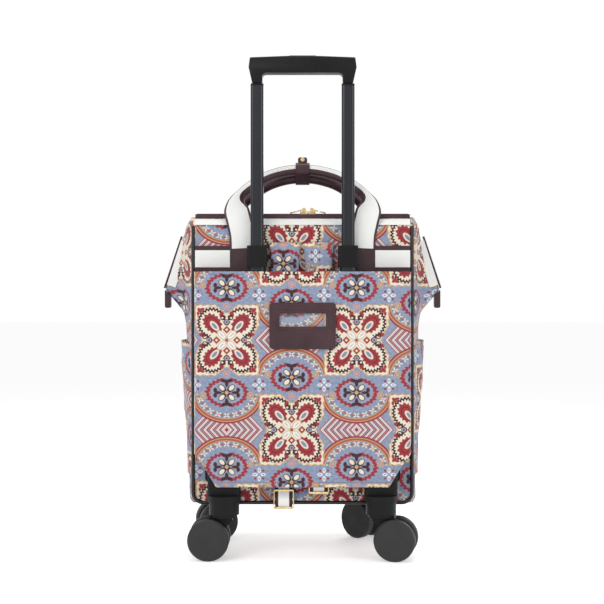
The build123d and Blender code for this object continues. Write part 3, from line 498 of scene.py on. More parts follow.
def paint_medallion(cloth, place, below):
    """Oval wreath of red leaves round a four-petalled flower with dark trefoils."""
    middle = (0.0, MEDALLION)
    seen = cloth.mirrored(place, middle)
    frill = cloth.frill(place, middle, 24, 1.15, (1.35, 1.0))
    wreath = cloth.ring(cloth.plus(cloth.oval(place, middle, (27.4, 18.8)), frill), 2.2)
    wreath = cloth.most(wreath, cloth.minus(6.0, cloth.split(seen)[0]))
    trefoils = cloth.ovals(
        seen,
        ((4.2, 17.2), (4.0, 2.7), 25.0),
        ((0.0, 13.6), (2.6, 5.6)),
        ((16.6, 3.8), (2.7, 3.4)),
        ((12.4, 0.0), (5.4, 2.2)),
        ((6.2, 6.2), (6.8, 4.2), 45.0),
    )
    return cloth.coats(
        below,
        (wreath, "red"),
        (cloth.ring(cloth.oval(seen, (0.0, 0.0), (22.6, 15.0)), 0.9), "sky"),
        (cloth.oval(seen, (8.6, 18.92), (2.6, 1.7), -40.0), "red"),
        (trefoils, "maroon"),
        (cloth.oval(seen, (7.0, 7.0), (4.6, 2.9), 45.0), "cream"),
        (cloth.disc(seen, (0.0, 0.0), 3.5), "maroon"),
        (cloth.disc(seen, (0.0, 0.0), 2.7), "tan"),
        (cloth.oval(seen, (24.8, 0.0), (1.6, 3.0)), "red"),
        (cloth.oval(seen, (24.8, 0.0), (0.8, 1.4)), "pink"),
    )


def paint_rosettes(cloth, place, below):
    """White four-petal sprigs, and small round rosettes in pink and tan."""
    seen = cloth.mirrored(place, (HALF[0] / 2, HALF[1] / 2))
    color = cloth.coats(
        below,
        (cloth.ovals(seen, ((5.9, 0.0), (3.9, 2.2)), ((0.0, 5.9), (2.2, 3.9))), "white"),
        (cloth.ovals(seen, ((6.2, 0.0), (1.9, 0.9)), ((0.0, 6.2), (0.9, 1.9))), "ground"),
        (cloth.disc(seen, (5.6, 5.6), 1.7), "red"),
    )
    for spot, petal, heart in (
        ((0.0, 48.6), "pink", "tan"),
        ((34.5, MEDALLION + 4.0), "tan", "pink"),
        ((HALF[0] - 34.5, HALF[1] - MEDALLION - 4.0), "tan", "pink"),
    ):
        flower = cloth.plus(cloth.disc(place, spot, 5.0), cloth.frill(place, spot, 8, 0.7))
        color = cloth.coats(
            color,
            (flower, petal),
            (cloth.ring(cloth.disc(place, spot, 3.0), 0.5), "ground"),
            (cloth.disc(place, spot, 1.2), heart),
        )
    return color


SCROLL = (21.5, 25.0)
CROSS_REACH = (45.6, 50.0)
# Where the cross flower's ground is notched: the slope of each side, its height and its cut
TOP_NOTCH = (0.78, 51.5, 14.0)
SIDE_NOTCH = (0.54, 47.0, 13.0)
RIPPLE_RATE, RIPPLE_DEPTH = 0.62, 0.7


def paint_cross(cloth, place, below):
    """The great cross flower: four leafy scrolls on a notched cream ground."""
    seen = cloth.mirrored(place)
    x, z, _ = cloth.split(seen)
    inward = cloth.plus(x, z)
    sides = [cloth.minus(x, CROSS_REACH[0]), cloth.minus(z, CROSS_REACH[1])]
    for run, rise, (slope, height, cut) in ((x, z, TOP_NOTCH), (z, x, SIDE_NOTCH)):
        line = cloth.plus(cloth.times(run, slope), cloth.minus(height, rise))
        sides.append(cloth.minus(cut, line))
    ripple = cloth.times(cloth.math("SINE", cloth.times(inward, RIPPLE_RATE)), RIPPLE_DEPTH)
    ground = cloth.plus(cloth.most(*sides), ripple)

    frill = cloth.frill(seen, SCROLL, 25, 1.3)
    outer_scroll = cloth.ring(cloth.plus(cloth.oval(seen, SCROLL, (19.0, 20.0)), frill), 1.9)
    inner_scroll = cloth.ring(cloth.oval(seen, SCROLL, (22.2, 23.2)), 0.5)
    leaf_frill = cloth.frill(seen, SCROLL, 13, 1.1)
    leaf = cloth.plus(cloth.oval(seen, (20.6, 24.4), (15.6, 11.6), 48.0), leaf_frill)
    petals = cloth.oval(seen, (7.2, 7.6), (7.0, 3.6), 46.0)
    color = cloth.coats(
        below,
        (cloth.minus(ground, 1.5), "tan"),
        (ground, "cream"),
        (cloth.most(outer_scroll, cloth.minus(30.0, inward)), "maroon"),
        (cloth.most(inner_scroll, cloth.minus(36.0, inward)), "tan"),
        (leaf, "red"),
        (cloth.ring(cloth.oval(seen, (20.0, 23.4), (11.0, 7.2), 48.0), 0.35), "maroon"),
        (cloth.oval(seen, (17.6, 20.6), (8.6, 4.3), 48.0), "cream"),
        (cloth.oval(seen, (17.6, 20.6), (5.6, 2.3), 48.0), "ground"),
        (cloth.ovals(
            seen,
            ((39.0, 43.0), (4.6, 2.6), 45.0),
            ((35.0, 45.0), (3.2, 2.0)),
            ((41.4, 38.6), (2.0, 3.2)),
        ), "red"),
        (cloth.oval(seen, (7.6, 37.5), (2.6, 4.6), 24.0), "red"),
        (cloth.oval(seen, (36.0, 7.6), (4.6, 2.6), 24.0), "red"),
        (cloth.minus(petals, 0.9), "tan"),
        (petals, "white"),
        (cloth.oval(seen, (7.6, 8.0), (4.2, 0.7), 46.0), "tan"),
    )
    for spot in ((0.0, 15.2), (14.8, 0.0)):
        for half, yarn in ((6.2, "tan"), (5.2, "red"), (2.2, "cream")):
            color = cloth.paint(color, cloth.diamond(seen, spot, half), yarn)
    for spot, heart in (((0.0, 25.6), (0.0, 26.2)), ((25.0, 0.0), (25.6, 0.0))):
        color = cloth.coats(
            color,
            (cloth.disc(seen, spot, 4.4), "maroon"),
            (cloth.disc(seen, heart, 3.2), "sky"),
            (cloth.disc(seen, heart, 1.6), "red"),
        )
    curls = cloth.least(*(
        cloth.ring(cloth.disc(seen, spot, 3.2), 0.8) for spot in ((5.4, 32.6), (31.6, 5.4))
    ))
    color = cloth.paint(color, curls, "maroon")
    return cloth.paint(color, cloth.diamond(seen, (0.0, 0.0), 2.6), "red")


THREAD_PITCH = (0.45, 0.3)


def woven_carpet(name, coordinates="UV", origin=REAR_ORIGIN):
    """The bag's cloth: the ornament, the ribs of the weave with painted shade and highlight on
    them, and its dull sheen.
    """
    cloth = Cloth(name)
    place = cloth.coordinates(coordinates)
    if coordinates == "Object":
        x, _, z = cloth.split(place)
        place = cloth.join(x, z)
    cell = fold_lattice(cloth, place, origin)
    fleck = cloth.span(cloth.noise(place, 260.0), 0.35, 0.65)
    color = cloth.mix(fleck, YARN["ground"], YARN["sky"])
    for layer in (paint_arcs, paint_medallion, paint_cross, paint_rosettes):
        color = layer(cloth, cell, color)
    # Painted shade and highlight on the weave: each thread lighter on its crown and darker where
    # it meets the next, over a random unevenness of tone, drawn as darker and lighter copies of
    # the ornament's colour
    px, pz, _ = cloth.split(place)
    across = cloth.math("PINGPONG", cloth.times(px, 1000.0), THREAD_PITCH[0])
    along = cloth.math("PINGPONG", cloth.times(pz, 1000.0), THREAD_PITCH[1])
    thread = cloth.times(cloth.times(across, 2.2), cloth.times(along, 3.3))
    worn = cloth.times(cloth.noise(place, 900.0), 0.6)
    shade = cloth.span(cloth.plus(thread, worn), 0.2, 1.3)
    color = cloth.mix(shade, cloth.scaled(color, 0.72), cloth.scaled(color, 1.16))
    cloth.bump(thread, 0.0003, 0.3)
    return cloth.finish(color, 0.84, Sheen_Weight=0.12)


BLACK = (0.0045, 0.0045, 0.005)
CHARCOAL = (0.014, 0.014, 0.015)
finishes = {
    "black_plastic": moulded_plastic("black_plastic", BLACK),
    "button_plastic": moulded_plastic("button_plastic", CHARCOAL, 0.3),
    "black_aluminium": anodised_tube("black_aluminium", (0.026, 0.028, 0.033)),
    "gilt_metal": gilt("gilt_metal"),
    "leather": grained_leather("leather", (0.030, 0.011, 0.015)),
    "webbing": woven_webbing("webbing"),
    "wheel_rubber": smooth_rubber("wheel_rubber", (0.004, 0.004, 0.0045)),
    "piping": patent_piping("piping"),
    "steel_wire": plain_finish("steel wire", (0.52, 0.52, 0.53), 0.32, Metallic=1.0),
    "board": plain_finish("base board", CHARCOAL, 0.7),
    "zip_tape": plain_finish("zip tape", (0.018, 0.010, 0.012), 0.85),
    "clear_film": plain_finish(
        "window film", (0.92, 0.93, 0.95), 0.12, Alpha=0.05, Specular_IOR_Level=0.6
    ),
    "jacquard": woven_carpet("carpet cloth"),
}
strap_carpet = woven_carpet("carpet cloth, straps", "Object", STRAP_ORIGIN)
dark_thread = plain_finish("dark thread", (0.070, 0.030, 0.038), 0.7)

# The CAD's own pieces take their finishes by slot
for entry in frame["record"]["subparts"]:
    node = frame["nodes"][entry["node"]]
    chosen = finishes[entry["material_slot"]]
    if not node.data.materials:
        node.data.materials.append(chosen)
    for holder in node.material_slots:
        holder.material = chosen


# Builders for sewn pieces
def hand_over(piece, finish, body):
    """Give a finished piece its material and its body."""
    piece.data.materials.append(finish)
    piece.select_set(False)
    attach(piece, body)


def apply_modifier(piece, kind, **settings):
    """Add a modifier with its settings and apply it at once."""
    modifier = piece.modifiers.new(kind.lower(), kind)
    for key, value in settings.items():
        setattr(modifier, key, value)
    bpy.context.view_layer.objects.active = piece
    bpy.ops.object.modifier_apply(modifier=modifier.name)


def plain_block(name, low, high, room=(0.0, 0.0, 0.0)):
    """A box between two corners, less some room, with its place in its mesh."""
    middle = [(a + b) / 2 for a, b in zip(low, high)]
    bpy.ops.mesh.primitive_cube_add(size=1.0, location=middle)
    block = bpy.context.object
    block.name = name
    block.data.name = name
    block.scale = [b - a - less for a, b, less in zip(low, high, room)]
    bpy.ops.object.transform_apply(location=True, rotation=False, scale=True)
    return block


WELD = 0.05 * MM


def sew(name, columns, rows, shape, finish, wrap=False, thickness=0.0):
    """A cloth piece from a grid: shape gives each point and its place on the flat cloth, in mm."""
    bpy.ops.mesh.primitive_grid_add(x_subdivisions=columns, y_subdivisions=rows, size=2.0)
    piece = bpy.context.object
    piece.name = name
    mesh = piece.data
    mesh.name = name
    chart = mesh.uv_layers[0].data
    points = [shape((v.co.x + 1) / 2, (v.co.y + 1) / 2) for v in mesh.vertices]
    for loop in mesh.loops:
        chart[loop.index].uv = tuple(MM * c for c in points[loop.vertex_index][1])
    for vertex, (place, _) in zip(mesh.vertices, points):
        vertex.co = Vector(place) * MM
    if wrap:
        bpy.ops.object.mode_set(mode="EDIT")
        bpy.ops.mesh.select_all(action="SELECT")
        bpy.ops.mesh.remove_doubles(threshold=WELD)
        bpy.ops.object.mode_set(mode="OBJECT")
    if thickness:
        apply_modifier(piece, "SOLIDIFY", thickness=thickness * MM, offset=-1.0)
    bpy.ops.object.shade_smooth()
    hand_over(piece, finish, "bag")
    return piece


def ramp(value, low, high):
    """Nought below low, one above high, a smooth rise between."""
    share = min(1.0, max(0.0, (value - low) / (high - low)))
    return share * share * (3 - 2 * share)


def blend_table(table, level):
    """A value read from (level, value) pairs, in straight steps."""
    for (low, before), (high, after) in zip(table, table[1:]):
        if level <= high:
            share = max(0.0, (level - low) / (high - low))
            return before + (after - before) * share
    return table[-1][1]


def ridge(distance, width):
    """A sewn ridge: one on the line, nought a few widths off."""
    return exp(-((distance / width) ** 2))


def crumple(x, y, z, scale, amount):
    """How far soft cloth stands off its plain form at a place."""
    return amount * noise.noise(Vector((x, y, z)) * scale)


# Bag body: one sewn form of two panels and two gussets, its ears folded out at the sides. The
# tables pair a level with the panels' half width, the gussets' reach from the middle, the rear
# panel's lean, the front panel's distance behind REAR, and how far an ear stands out.
PANEL = 161.0
BAG_FOOT, RIM = 78.0, 500.0
WIDTH_TABLE = ((78.0, 161.0), (485.0, 161.0), (500.0, 163.0))
SIDE_TABLE = (
    (78.0, 173.0), (160.0, 173.0), (250.0, 174.0), (400.0, 181.0), (485.0, 175.0), (500.0, 167.0)
)
LEAN_TABLE = ((78.0, 0.0), (485.0, 0.0), (500.0, 19.0))
DEPTH_TABLE = (
    (78.0, 180.0), (160.0, 180.0), (250.0, 177.0), (400.0, 146.0), (485.0, 100.0), (500.0, 88.0)
)
EAR_TABLE = (
    (340.0, 0.0), (358.0, 2.0), (392.0, 28.5), (474.0, 3.0), (480.0, 0.0), (500.0, 0.0)
)
EAR_Y = REAR_MM + 60.0
EAR_FOOT_SPREAD, EAR_MORE_SPREAD = 11.0, 9.0
PANEL_SHARE, GUSSET_SHARE = 0.27, 0.23  # of the columns, for each panel and each gusset
GUSSET_LAID_FLAT = 1.03
FRONT_LAID_FLAT = 3 * PANEL + 30.0
TUCK_SHARE = 0.06  # of the rows, turned in under the foot
TUCK_REACH, FOOT_ROUND = 60.0, 9.0
FOOT_HALF_X, FOOT_HALF_Y = 175.0, 95.0


def gusset_ease(share):
    """Crowd the columns towards the ear's fold at the middle of a gusset."""
    offset = 2 * share - 1
    return 0.5 + 0.5 * (0.35 * offset + 0.65 * offset * abs(offset))


def rear_point(share, level, half, near):
    x = -half + 2 * half * share
    y = near - sin(pi * share) * crumple(x, 0, level, 0.021, 0.9)
    return x, y, -PANEL + 2 * PANEL * share


def front_point(share, level, half, far):
    x = half - 2 * half * share
    y = far + sin(pi * share) * crumple(x, 90, level, 0.018, 2.0)
    return x, y, FRONT_LAID_FLAT - 2 * PANEL * share


def gusset_point(share, level, half, near, far, right):
    share = gusset_ease(share)
    y = near + (far - near) * share
    bulge = 1 - (2 * share - 1) ** 2
    spread = EAR_FOOT_SPREAD + EAR_MORE_SPREAD * ramp(level, 380.0, 470.0)
    slack = 1.6 + 1.4 * ramp(level, 330.0, 380.0)
    x = half + (blend_table(SIDE_TABLE, level) - half) * bulge
    x += blend_table(EAR_TABLE, level) * exp(-((abs(y - EAR_Y) / spread) ** 1.5))
    x += bulge * crumple(31 if right else -17, y, level, 0.02, slack)
    flat = PANEL + (y - near) * GUSSET_LAID_FLAT
    return (x, y, flat) if right else (-x, y, -flat)


def bag_point(around, up):
    level = BAG_FOOT + (RIM - BAG_FOOT - 1.0) * max(0.0, (up - TUCK_SHARE) / (1 - TUCK_SHARE))
    half = blend_table(WIDTH_TABLE, level)
    near = REAR_MM + blend_table(LEAN_TABLE, level)
    far = REAR_MM + blend_table(DEPTH_TABLE, level)
    turn = around % 1.0
    past_gusset = turn - PANEL_SHARE - GUSSET_SHARE
    if turn < PANEL_SHARE:
        x, y, flat = rear_point(turn / PANEL_SHARE, level, half, near)
    elif past_gusset < 0:
        share = (turn - PANEL_SHARE) / GUSSET_SHARE
        x, y, flat = gusset_point(share, level, half, near, far, True)
    elif turn < 2 * PANEL_SHARE + GUSSET_SHARE:
        x, y, flat = front_point(past_gusset / PANEL_SHARE, level, half, far)
    else:
        x, y, flat = gusset_point((1 - turn) / GUSSET_SHARE, level, half, near, far, False)
    tuck = max(0.0, 1 - up / TUCK_SHARE)
    if tuck:
        draw = FOOT_ROUND * (1 - sqrt(max(0.0, 1 - min(1.0, 2 * tuck) ** 2)))
        inward = draw + TUCK_REACH * max(0.0, 2 * tuck - 1)
        middle = (near + far) / 2
        x *= 1 - inward / FOOT_HALF_X
        y = middle + (y - middle) * (1 - inward / FOOT_HALF_Y)
    return (x, y, level), (flat, level - 12.0 * tuck)


bag_body = sew("bag_body", 240, 110, bag_point, finishes["jacquard"], wrap=True)
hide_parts("bag_shell")

BASE_HALF_X, BASE_NEAR, BASE_RUN = 122.0, 22.0, 136.0


def base_point(across, along):
    x, y = BASE_HALF_X * (2 * across - 1), REAR_MM + BASE_NEAR + BASE_RUN * along
    return (x, y, BAG_FOOT + 0.6), (x, y)


base_finish = plain_finish("base cloth", (0.016, 0.016, 0.018), 0.8)
sew("base_cloth", 12, 8, base_point, base_finish)


# Flap over the trolley: a stiff cloth face with returns to the rear panel
FLAP_HALF, FLAP_TOP, FLAP_HEM = FLAP[1][0] / MM, FLAP[1][2] / MM, FLAP[0][2] / MM
FLAP_FACE = FLAP[0][1] / MM
FLAP_ROUND = 9.0
FLAP_CLOTH = 2.5
FLAP_LOW = ((0.0, 105.0), (125.0, 105.0), (148.0, 143.0), (157.5, 152.0), (200.0, 178.0))
FLAP_FLAT_HALF = FLAP_HALF - FLAP_ROUND
FLAP_QUARTER = FLAP_ROUND * pi / 2
FLAP_RUN = FLAP_FLAT_HALF + FLAP_QUARTER + (REAR_MM - 0.5 - FLAP_FACE - FLAP_ROUND)
HEM_SEAM, TOP_SEAM = 7.0, 4.0  # how far the two rows of stitches lie from the flap's edges


def flap_section(along):
    """The x and y of the flap's section at a length from its middle."""
    side = 1 if along >= 0 else -1
    run = abs(along)
    if run <= FLAP_FLAT_HALF:
        return side * run, FLAP_FACE
    if run <= FLAP_FLAT_HALF + FLAP_QUARTER:
        turn = (run - FLAP_FLAT_HALF) / FLAP_ROUND
        x = side * (FLAP_FLAT_HALF + FLAP_ROUND * sin(turn))
        return x, FLAP_FACE + FLAP_ROUND * (1 - cos(turn))
    return side * FLAP_HALF, FLAP_FACE + FLAP_ROUND + run - FLAP_FLAT_HALF - FLAP_QUARTER


def flap_point(across, up):
    along = FLAP_RUN * (2 * across - 1)
    x, y = flap_section(along)
    low = blend_table(FLAP_LOW, abs(along))
    level = low + (FLAP_TOP - low) * up
    inside = 1 - ramp(abs(along), FLAP_HALF - 30.0, FLAP_HALF - 8.0)
    seams = ridge(level - low - HEM_SEAM, 2.2) + ridge(FLAP_TOP - level - TOP_SEAM, 2.0)
    y += inside * (crumple(x, 5, level, 0.02, 1.1) + 0.5)
    y += 0.5 * seams * inside
    return (x, y, level), (along, level)


flap = sew("flap_cloth", 150, 120, flap_point, finishes["jacquard"], thickness=FLAP_CLOTH)
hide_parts("flap_panel")


STITCH_SHARE = 0.62  # of the pitch, as thread


def stitches(name, path, pitch, size, slot):
    """A row of stitches along a path of points in mm: each a short rounded thread."""
    made = []
    for start, end in zip(path, path[1:]):
        start, end = Vector(start), Vector(end)
        reach = (end - start).length
        count = max(1, round(reach / pitch))
        way = (end - start).normalized()
        for step in range(count):
            middle = start + way * reach * (step + 0.5) / count
            bpy.ops.mesh.primitive_uv_sphere_add(segments=6, ring_count=4, radius=1.0)
            thread = bpy.context.object
            thread.scale = (size * MM, size * MM, reach / count * STITCH_SHARE / 2 * MM)
            thread.rotation_mode = "QUATERNION"
            thread.rotation_quaternion = way.to_track_quat("Z", "Y")
            thread.location = middle * MM
            made.append(thread)
    bpy.ops.object.select_all(action="DESELECT")
    for thread in made:
        thread.select_set(True)
    bpy.context.view_layer.objects.active = made[0]
    if len(made) > 1:
        bpy.ops.object.join()
    row = bpy.context.object
    bpy.ops.object.transform_apply(location=True, rotation=True, scale=True)
    row.name = name
    row.data.name = name
    bpy.ops.object.shade_smooth()
    hand_over(row, dark_thread, "bag")


def face_at(x, level):
    """The flap's face at a place, just proud of the cloth."""
    low = blend_table(FLAP_LOW, abs(x))
    (_, y, _), _ = flap_point((x / FLAP_RUN + 1) / 2, (level - low) / (FLAP_TOP - low))
    return (x, y - 0.15, level)


FLAP_STITCH = (2.6, 0.38)
top_row = [face_at(x, FLAP_TOP - TOP_SEAM) for x in range(-146, 147, 4)]
stitches("flap_top_stitches", top_row, *FLAP_STITCH, "jacquard")
hem_row = [face_at(x, blend_table(FLAP_LOW, abs(x)) + HEM_SEAM) for x in range(-144, 145, 4)]
stitches("flap_hem_stitches", hem_row, *FLAP_STITCH, "jacquard")


# Side pockets: cloth pouches that stand off the gussets, hemmed at the top
POCKET_SEAM_X, POCKET_FOOT_X, POCKET_STAND = 161.5, 176.4, 9.54
POCKET_CLOTH = 1.6
POCKET_HEM, POCKET_HEM_DEPTH = 6.0, 0.7


def pocket_builder(label, side):
    low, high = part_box(f"side_pocket_{label}")
    half = (high[1] - low[1]) / MM / 2
    middle = (high[1] + low[1]) / MM / 2
    foot, top = low[2] / MM, high[2] / MM

    def point(across, up):
        level = foot + (top - foot) * up
        slack = 2 * across - 1
        bulge = 1 - slack * slack
        y = middle + slack * half
        reach = POCKET_FOOT_X + POCKET_STAND * ramp(up, 0.05, 1.0)
        x = POCKET_SEAM_X + (reach - POCKET_SEAM_X) * bulge ** 0.9
        x += bulge * crumple(side * 40, y, level, 0.045, 1.5) * ramp(up, 0.0, 0.3)
        x -= POCKET_HEM_DEPTH * ridge(top - level - POCKET_HEM, 1.6)
        return (side * x, y, level), (side * (PANEL + 20 + slack * half), level - 40.0)

    return point


for label, side in (("left", -1), ("right", 1)):
    pouch = sew(
        f"pocket_cloth_{label}", 60, 60, pocket_builder(label, side), finishes["jacquard"],
        thickness=POCKET_CLOTH * side,
    )
    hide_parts(f"side_pocket_{label}")


# Shoulder straps: padded cloth blown up by simulation, then kept within the CAD's own box
PAD_ROOM = (0.0012, 0.003, 0.002)  # how much smaller than its box a pad starts
PAD_ROUND, PAD_VOXEL, PAD_SWELL = 0.0032, 0.004, 0.0025
PAD_PRESSURE, PAD_STEPS = 4.0, 20


def padded_strap(label):
    low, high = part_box(f"shoulder_strap_{label}")
    pad = plain_block(f"strap_pad_{label}", low, high, PAD_ROOM)
    apply_modifier(pad, "BEVEL", width=PAD_ROUND, segments=3)
    apply_modifier(pad, "REMESH", mode="VOXEL", voxel_size=PAD_VOXEL)
    before = [v.co.copy() for v in pad.data.vertices]
    cloth = pad.modifiers.new("fill", "CLOTH")
    cloth.settings.use_pressure = True
    cloth.settings.uniform_pressure_force = PAD_PRESSURE
    cloth.settings.effector_weights.gravity = 0.0
    for step in range(1, PAD_STEPS + 1):
        scene.frame_set(step)
    bpy.ops.object.modifier_apply(modifier=cloth.name)
    scene.frame_set(1)
    for vertex, place in zip(pad.data.vertices, before):
        move = vertex.co - place
        if move.length > PAD_SWELL:
            vertex.co = place + move.normalized() * PAD_SWELL
        vertex.co.x = min(max(vertex.co.x, low[0]), high[0])
        vertex.co.y = min(max(vertex.co.y, low[1]), high[1])
    apply_modifier(pad, "SUBSURF", levels=1)
    bpy.ops.object.shade_smooth()
    hand_over(pad, strap_carpet, "bag")
    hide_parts(f"shoulder_strap_{label}")


for label in ("left", "right"):
    padded_strap(label)


# Carry handles: a flat strap rises from each patch, folds over and rolls up as the grip. Each
# path is the middle of the strap's right half, from the patch to the middle of the grip.
HANDLE_PATHS = {
    "rear": (
        (88, -66.4, 452), (89, -66.6, 472), (93.5, -65, 493), (97.5, -59, 510), (96, -51, 525),
        (83, -42, 541), (56, -29, 560), (28, -22.5, 569.5), (0, -20.5, 572.5),
    ),
    "front": (
        (88, 54.5, 452), (89, 46, 472), (93.5, 38.5, 490), (97.5, 31, 505), (96, 22, 517),
        (83, 13, 531), (56, 4, 549), (28, -1, 558.5), (0, -2.5, 561.5),
    ),
}
STRAP_HALF, STRAP_THICK, ROLL = 19.0, 1.5, 7.8
ROLL_FROM, ROLL_TO = 0.34, 0.58  # shares of the half length over which the strap rolls up
# The skins, as degrees round the section: where each starts and ends while flat and when rolled
LEATHER_SKIN = ((0, 0), (360, 360))
WEBBING_SKIN = ((49, 38), (131, 84))
WEBBING_STAND = 0.5
NEARBY = 0.002  # the share of a path over which its direction is taken


def curve_at(points, share):
    """A smooth curve through the points, from 0 at the first to 1 at the last."""
    reach = share * (len(points) - 1)
    step = min(int(reach), len(points) - 2)
    t = reach - step
    near = (points[min(max(step + k, 0), len(points) - 1)] for k in (-1, 0, 1, 2))
    a, b, c, d = (Vector(point) for point in near)
    bend = (2 * a - 5 * b + 4 * c - d) * t**2
    twist = (3 * b - a - 3 * c + d) * t**3
    return 0.5 * (2 * b + (c - a) * t + bend + twist)


def squared(value, power):
    """A sine or cosine drawn towards a square section, its sign kept."""
    return abs(value) ** power * (1 if value >= 0 else -1)


def handle_shape(label, stand, skin):
    """Builds one skin of a handle, standing off the strap."""
    half = HANDLE_PATHS[label]
    points = [(-x, y, z) for x, y, z in half] + list(reversed(half[:-1]))
    front = Vector((0, -1 if label == "rear" else 1, 0))

    def point(across, along):
        middle = curve_at(points, along)
        start, end = max(0.0, along - NEARBY), min(1.0, along + NEARBY)
        ahead = (curve_at(points, end) - curve_at(points, start)).normalized()
        face = (front - ahead * front.dot(ahead)).normalized()
        out = face.cross(ahead) if label == "rear" else ahead.cross(face)
        rolled = ramp(1 - abs(2 * along - 1), ROLL_FROM, ROLL_TO)
        wide = STRAP_HALF + (ROLL - STRAP_HALF) * rolled
        thick = STRAP_THICK + (ROLL - STRAP_THICK) * rolled
        low, high = (radians(flat + (round_ - flat) * rolled) for flat, round_ in skin)
        turn = low + (high - low) * across
        power = 0.45 + 0.55 * rolled
        u, v = squared(cos(turn), power), squared(sin(turn), power)
        place = middle + out * (wide + stand * rolled) * u + face * (thick + stand) * v
        return tuple(place), (along * 400.0, across * 60.0)

    return point


for label in ("rear", "front"):
    strap = sew(
        f"handle_strap_{label}", 28, 120, handle_shape(label, 0.0, LEATHER_SKIN),
        finishes["leather"], wrap=True,
    )
    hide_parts(f"carry_handle_{label}")
    ribbon = sew(
        f"handle_ribbon_{label}", 10, 120, handle_shape(label, WEBBING_STAND, WEBBING_SKIN),
        woven_webbing(f"handle webbing {label}"),
    )
    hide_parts(f"handle_webbing_{label}")


# Stitching on the tag and the patches
PROUD = 0.1
TAG_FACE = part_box("luggage_tag")[0][1] / MM - PROUD
PATCH_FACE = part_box("handle_patches")[0][1] / MM - PROUD


def loop_of(middle_x, middle_z, half_x, half_z, y):
    corners = ((-1, -1), (1, -1), (1, 1), (-1, 1), (-1, -1))
    return [(middle_x + sx * half_x, y, middle_z + sz * half_z) for sx, sz in corners]


tag_edge = loop_of(0, 338.5, 45.6, 31.1, TAG_FACE)
tag_window = loop_of(0, 347.0, 36.0, 12.2, TAG_FACE)
stitches("tag_edge_stitches", tag_edge, 2.6, 0.36, "leather")
stitches("tag_window_stitches", tag_window, 2.4, 0.34, "leather")
for label, side in (("left", -1), ("right", 1)):
    edge = loop_of(side * 88.0, 436.5, 15.8, 15.8, PATCH_FACE)
    stitches(f"patch_edge_{label}", edge, 2.5, 0.36, "leather")
    for way in (0, 1):
        cross = [edge[way], edge[way + 2]]
        stitches(f"patch_cross_{label}_{way}", cross, 2.5, 0.36, "leather")


# Lower strap webbings: striped tape through each ladder slider, down to a loop and back up
TAPE_HALF, TAPE_THICK, TAPE_LENGTH = 12.6, 1.1, 260.0
STRIPE_FROM, STRIPE_TO = 0.0078, 0.0081


def striped_tape(name):
    """White tape with a dark stripe along each edge; the piece's own map runs across it."""
    shade = Shade(name)
    across, along, _ = shade.split(shade.coordinates("UV"))
    stripe = shade.span(shade.size(across), STRIPE_FROM, STRIPE_TO)
    color = shade.mix(stripe, (0.74, 0.74, 0.72), (0.030, 0.010, 0.014))
    ribs = shade.math("PINGPONG", shade.times(along, 1000.0), 0.6)
    shade.bump(ribs, 0.0002, 0.5)
    return shade.finish(color, 0.75)


def tape_path(label):
    """Where the tape runs, from the strap down, as (0, y, z): in and out of the slider, round the
    loop where the webbing has one, and up."""
    low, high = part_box(f"strap_slider_{label}")
    web_low, web_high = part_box(f"strap_webbing_{label}")
    face, back = low[1] / MM, high[1] / MM
    foot, top = low[2] / MM, high[2] / MM
    middle, end, start = (foot + top) / 2, web_low[2] / MM, web_high[2] / MM
    rear = web_high[1] / MM - 0.6
    inner = back + 0.9
    run = [
        (rear - 1.0, start), (inner, top + 12), (inner, top),
        (face - 0.8, middle + 2), (face - 0.8, middle - 2),
    ]
    if end < foot - 4:
        run += [(inner - 0.4, foot + 2), (inner - 0.4, foot - 3), (inner - 0.8, end + 4)]
        run += [(inner + 0.2, end + 1), (rear - 1.2, end + 1)]
        run += [(rear - 0.4, end + 5), (rear - 0.4, top + 14)]
    else:
        run += [(inner - 0.4, foot + 3), (inner + 0.6, end + 1)]
    return [(0.0, y, z) for y, z in run]


def tape_shape(label):
    low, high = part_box(f"strap_slider_{label}")
    middle_x = (low[0] + high[0]) / MM / 2
    run = tape_path(label)

    def point(across, along):
        place = curve_at(run, along)
        x = TAPE_HALF * (2 * across - 1)
        return (middle_x + x, place[1], place[2]), (x, along * TAPE_LENGTH)

    return point


for label in ("left", "right"):
    tape = sew(
        f"strap_tape_{label}", 8, 110, tape_shape(label), striped_tape(f"strap tape {label}"),
        thickness=TAPE_THICK,
    )
    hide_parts(f"strap_webbing_{label}")


# Grip: one moulded bar on two necks, its upper faces leaning in from a ridge, sizes in mm. It
# stands for the CAD's grip, whose end corners and neck arcs bend the other way.
GRIP_LOW, GRIP_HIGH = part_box("grip")
BUTTON_LOW, BUTTON_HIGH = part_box("grip_button")
GRIP_HALF = GRIP_HIGH[0] / MM
RIDGE_UP = 22.5
CROWN_UP = 17.0
CROWN_DROP, CROWN_FLAT_HALF = 2.2, 24.0
END_LEAN, FACE_LEAN = 2.0, 4.0  # how far the ends and the faces lean in above the ridge
END_TAPER, FACE_TAPER = 5.0, 2.4  # and below it
UNDER_UP = 14.5
GAP_HALF, GAP_ROUND = 58.5, 5.5
GRIP_EDGE, SHARP = 1.6, radians(28)
WELL_ROOM, WELL_DEPTH = 0.5, 4.0
BEYOND = 10.0  # how far a cutter stands past what it cuts


def slice_off(block, place, outward):
    """Cut away what lies beyond a plane and close the face."""
    bpy.ops.object.select_all(action="DESELECT")
    block.select_set(True)
    bpy.context.view_layer.objects.active = block
    bpy.ops.object.mode_set(mode="EDIT")
    bpy.ops.mesh.select_all(action="SELECT")
    way = Vector(outward).normalized()
    bpy.ops.mesh.bisect(plane_co=place, plane_no=way, use_fill=True, clear_outer=True)
    bpy.ops.object.mode_set(mode="OBJECT")


def round_edges(block, width, segments):
    """Round every sharp edge."""
    apply_modifier(
        block, "BEVEL", width=width * MM, segments=segments, limit_method="ANGLE",
        angle_limit=SHARP,
    )


def hollow_out(block, cutter):
    """Cut one block out of another, and remove the cutter."""
    apply_modifier(block, "BOOLEAN", operation="DIFFERENCE", solver="EXACT", object=cutter)
    bpy.data.objects.remove(cutter)


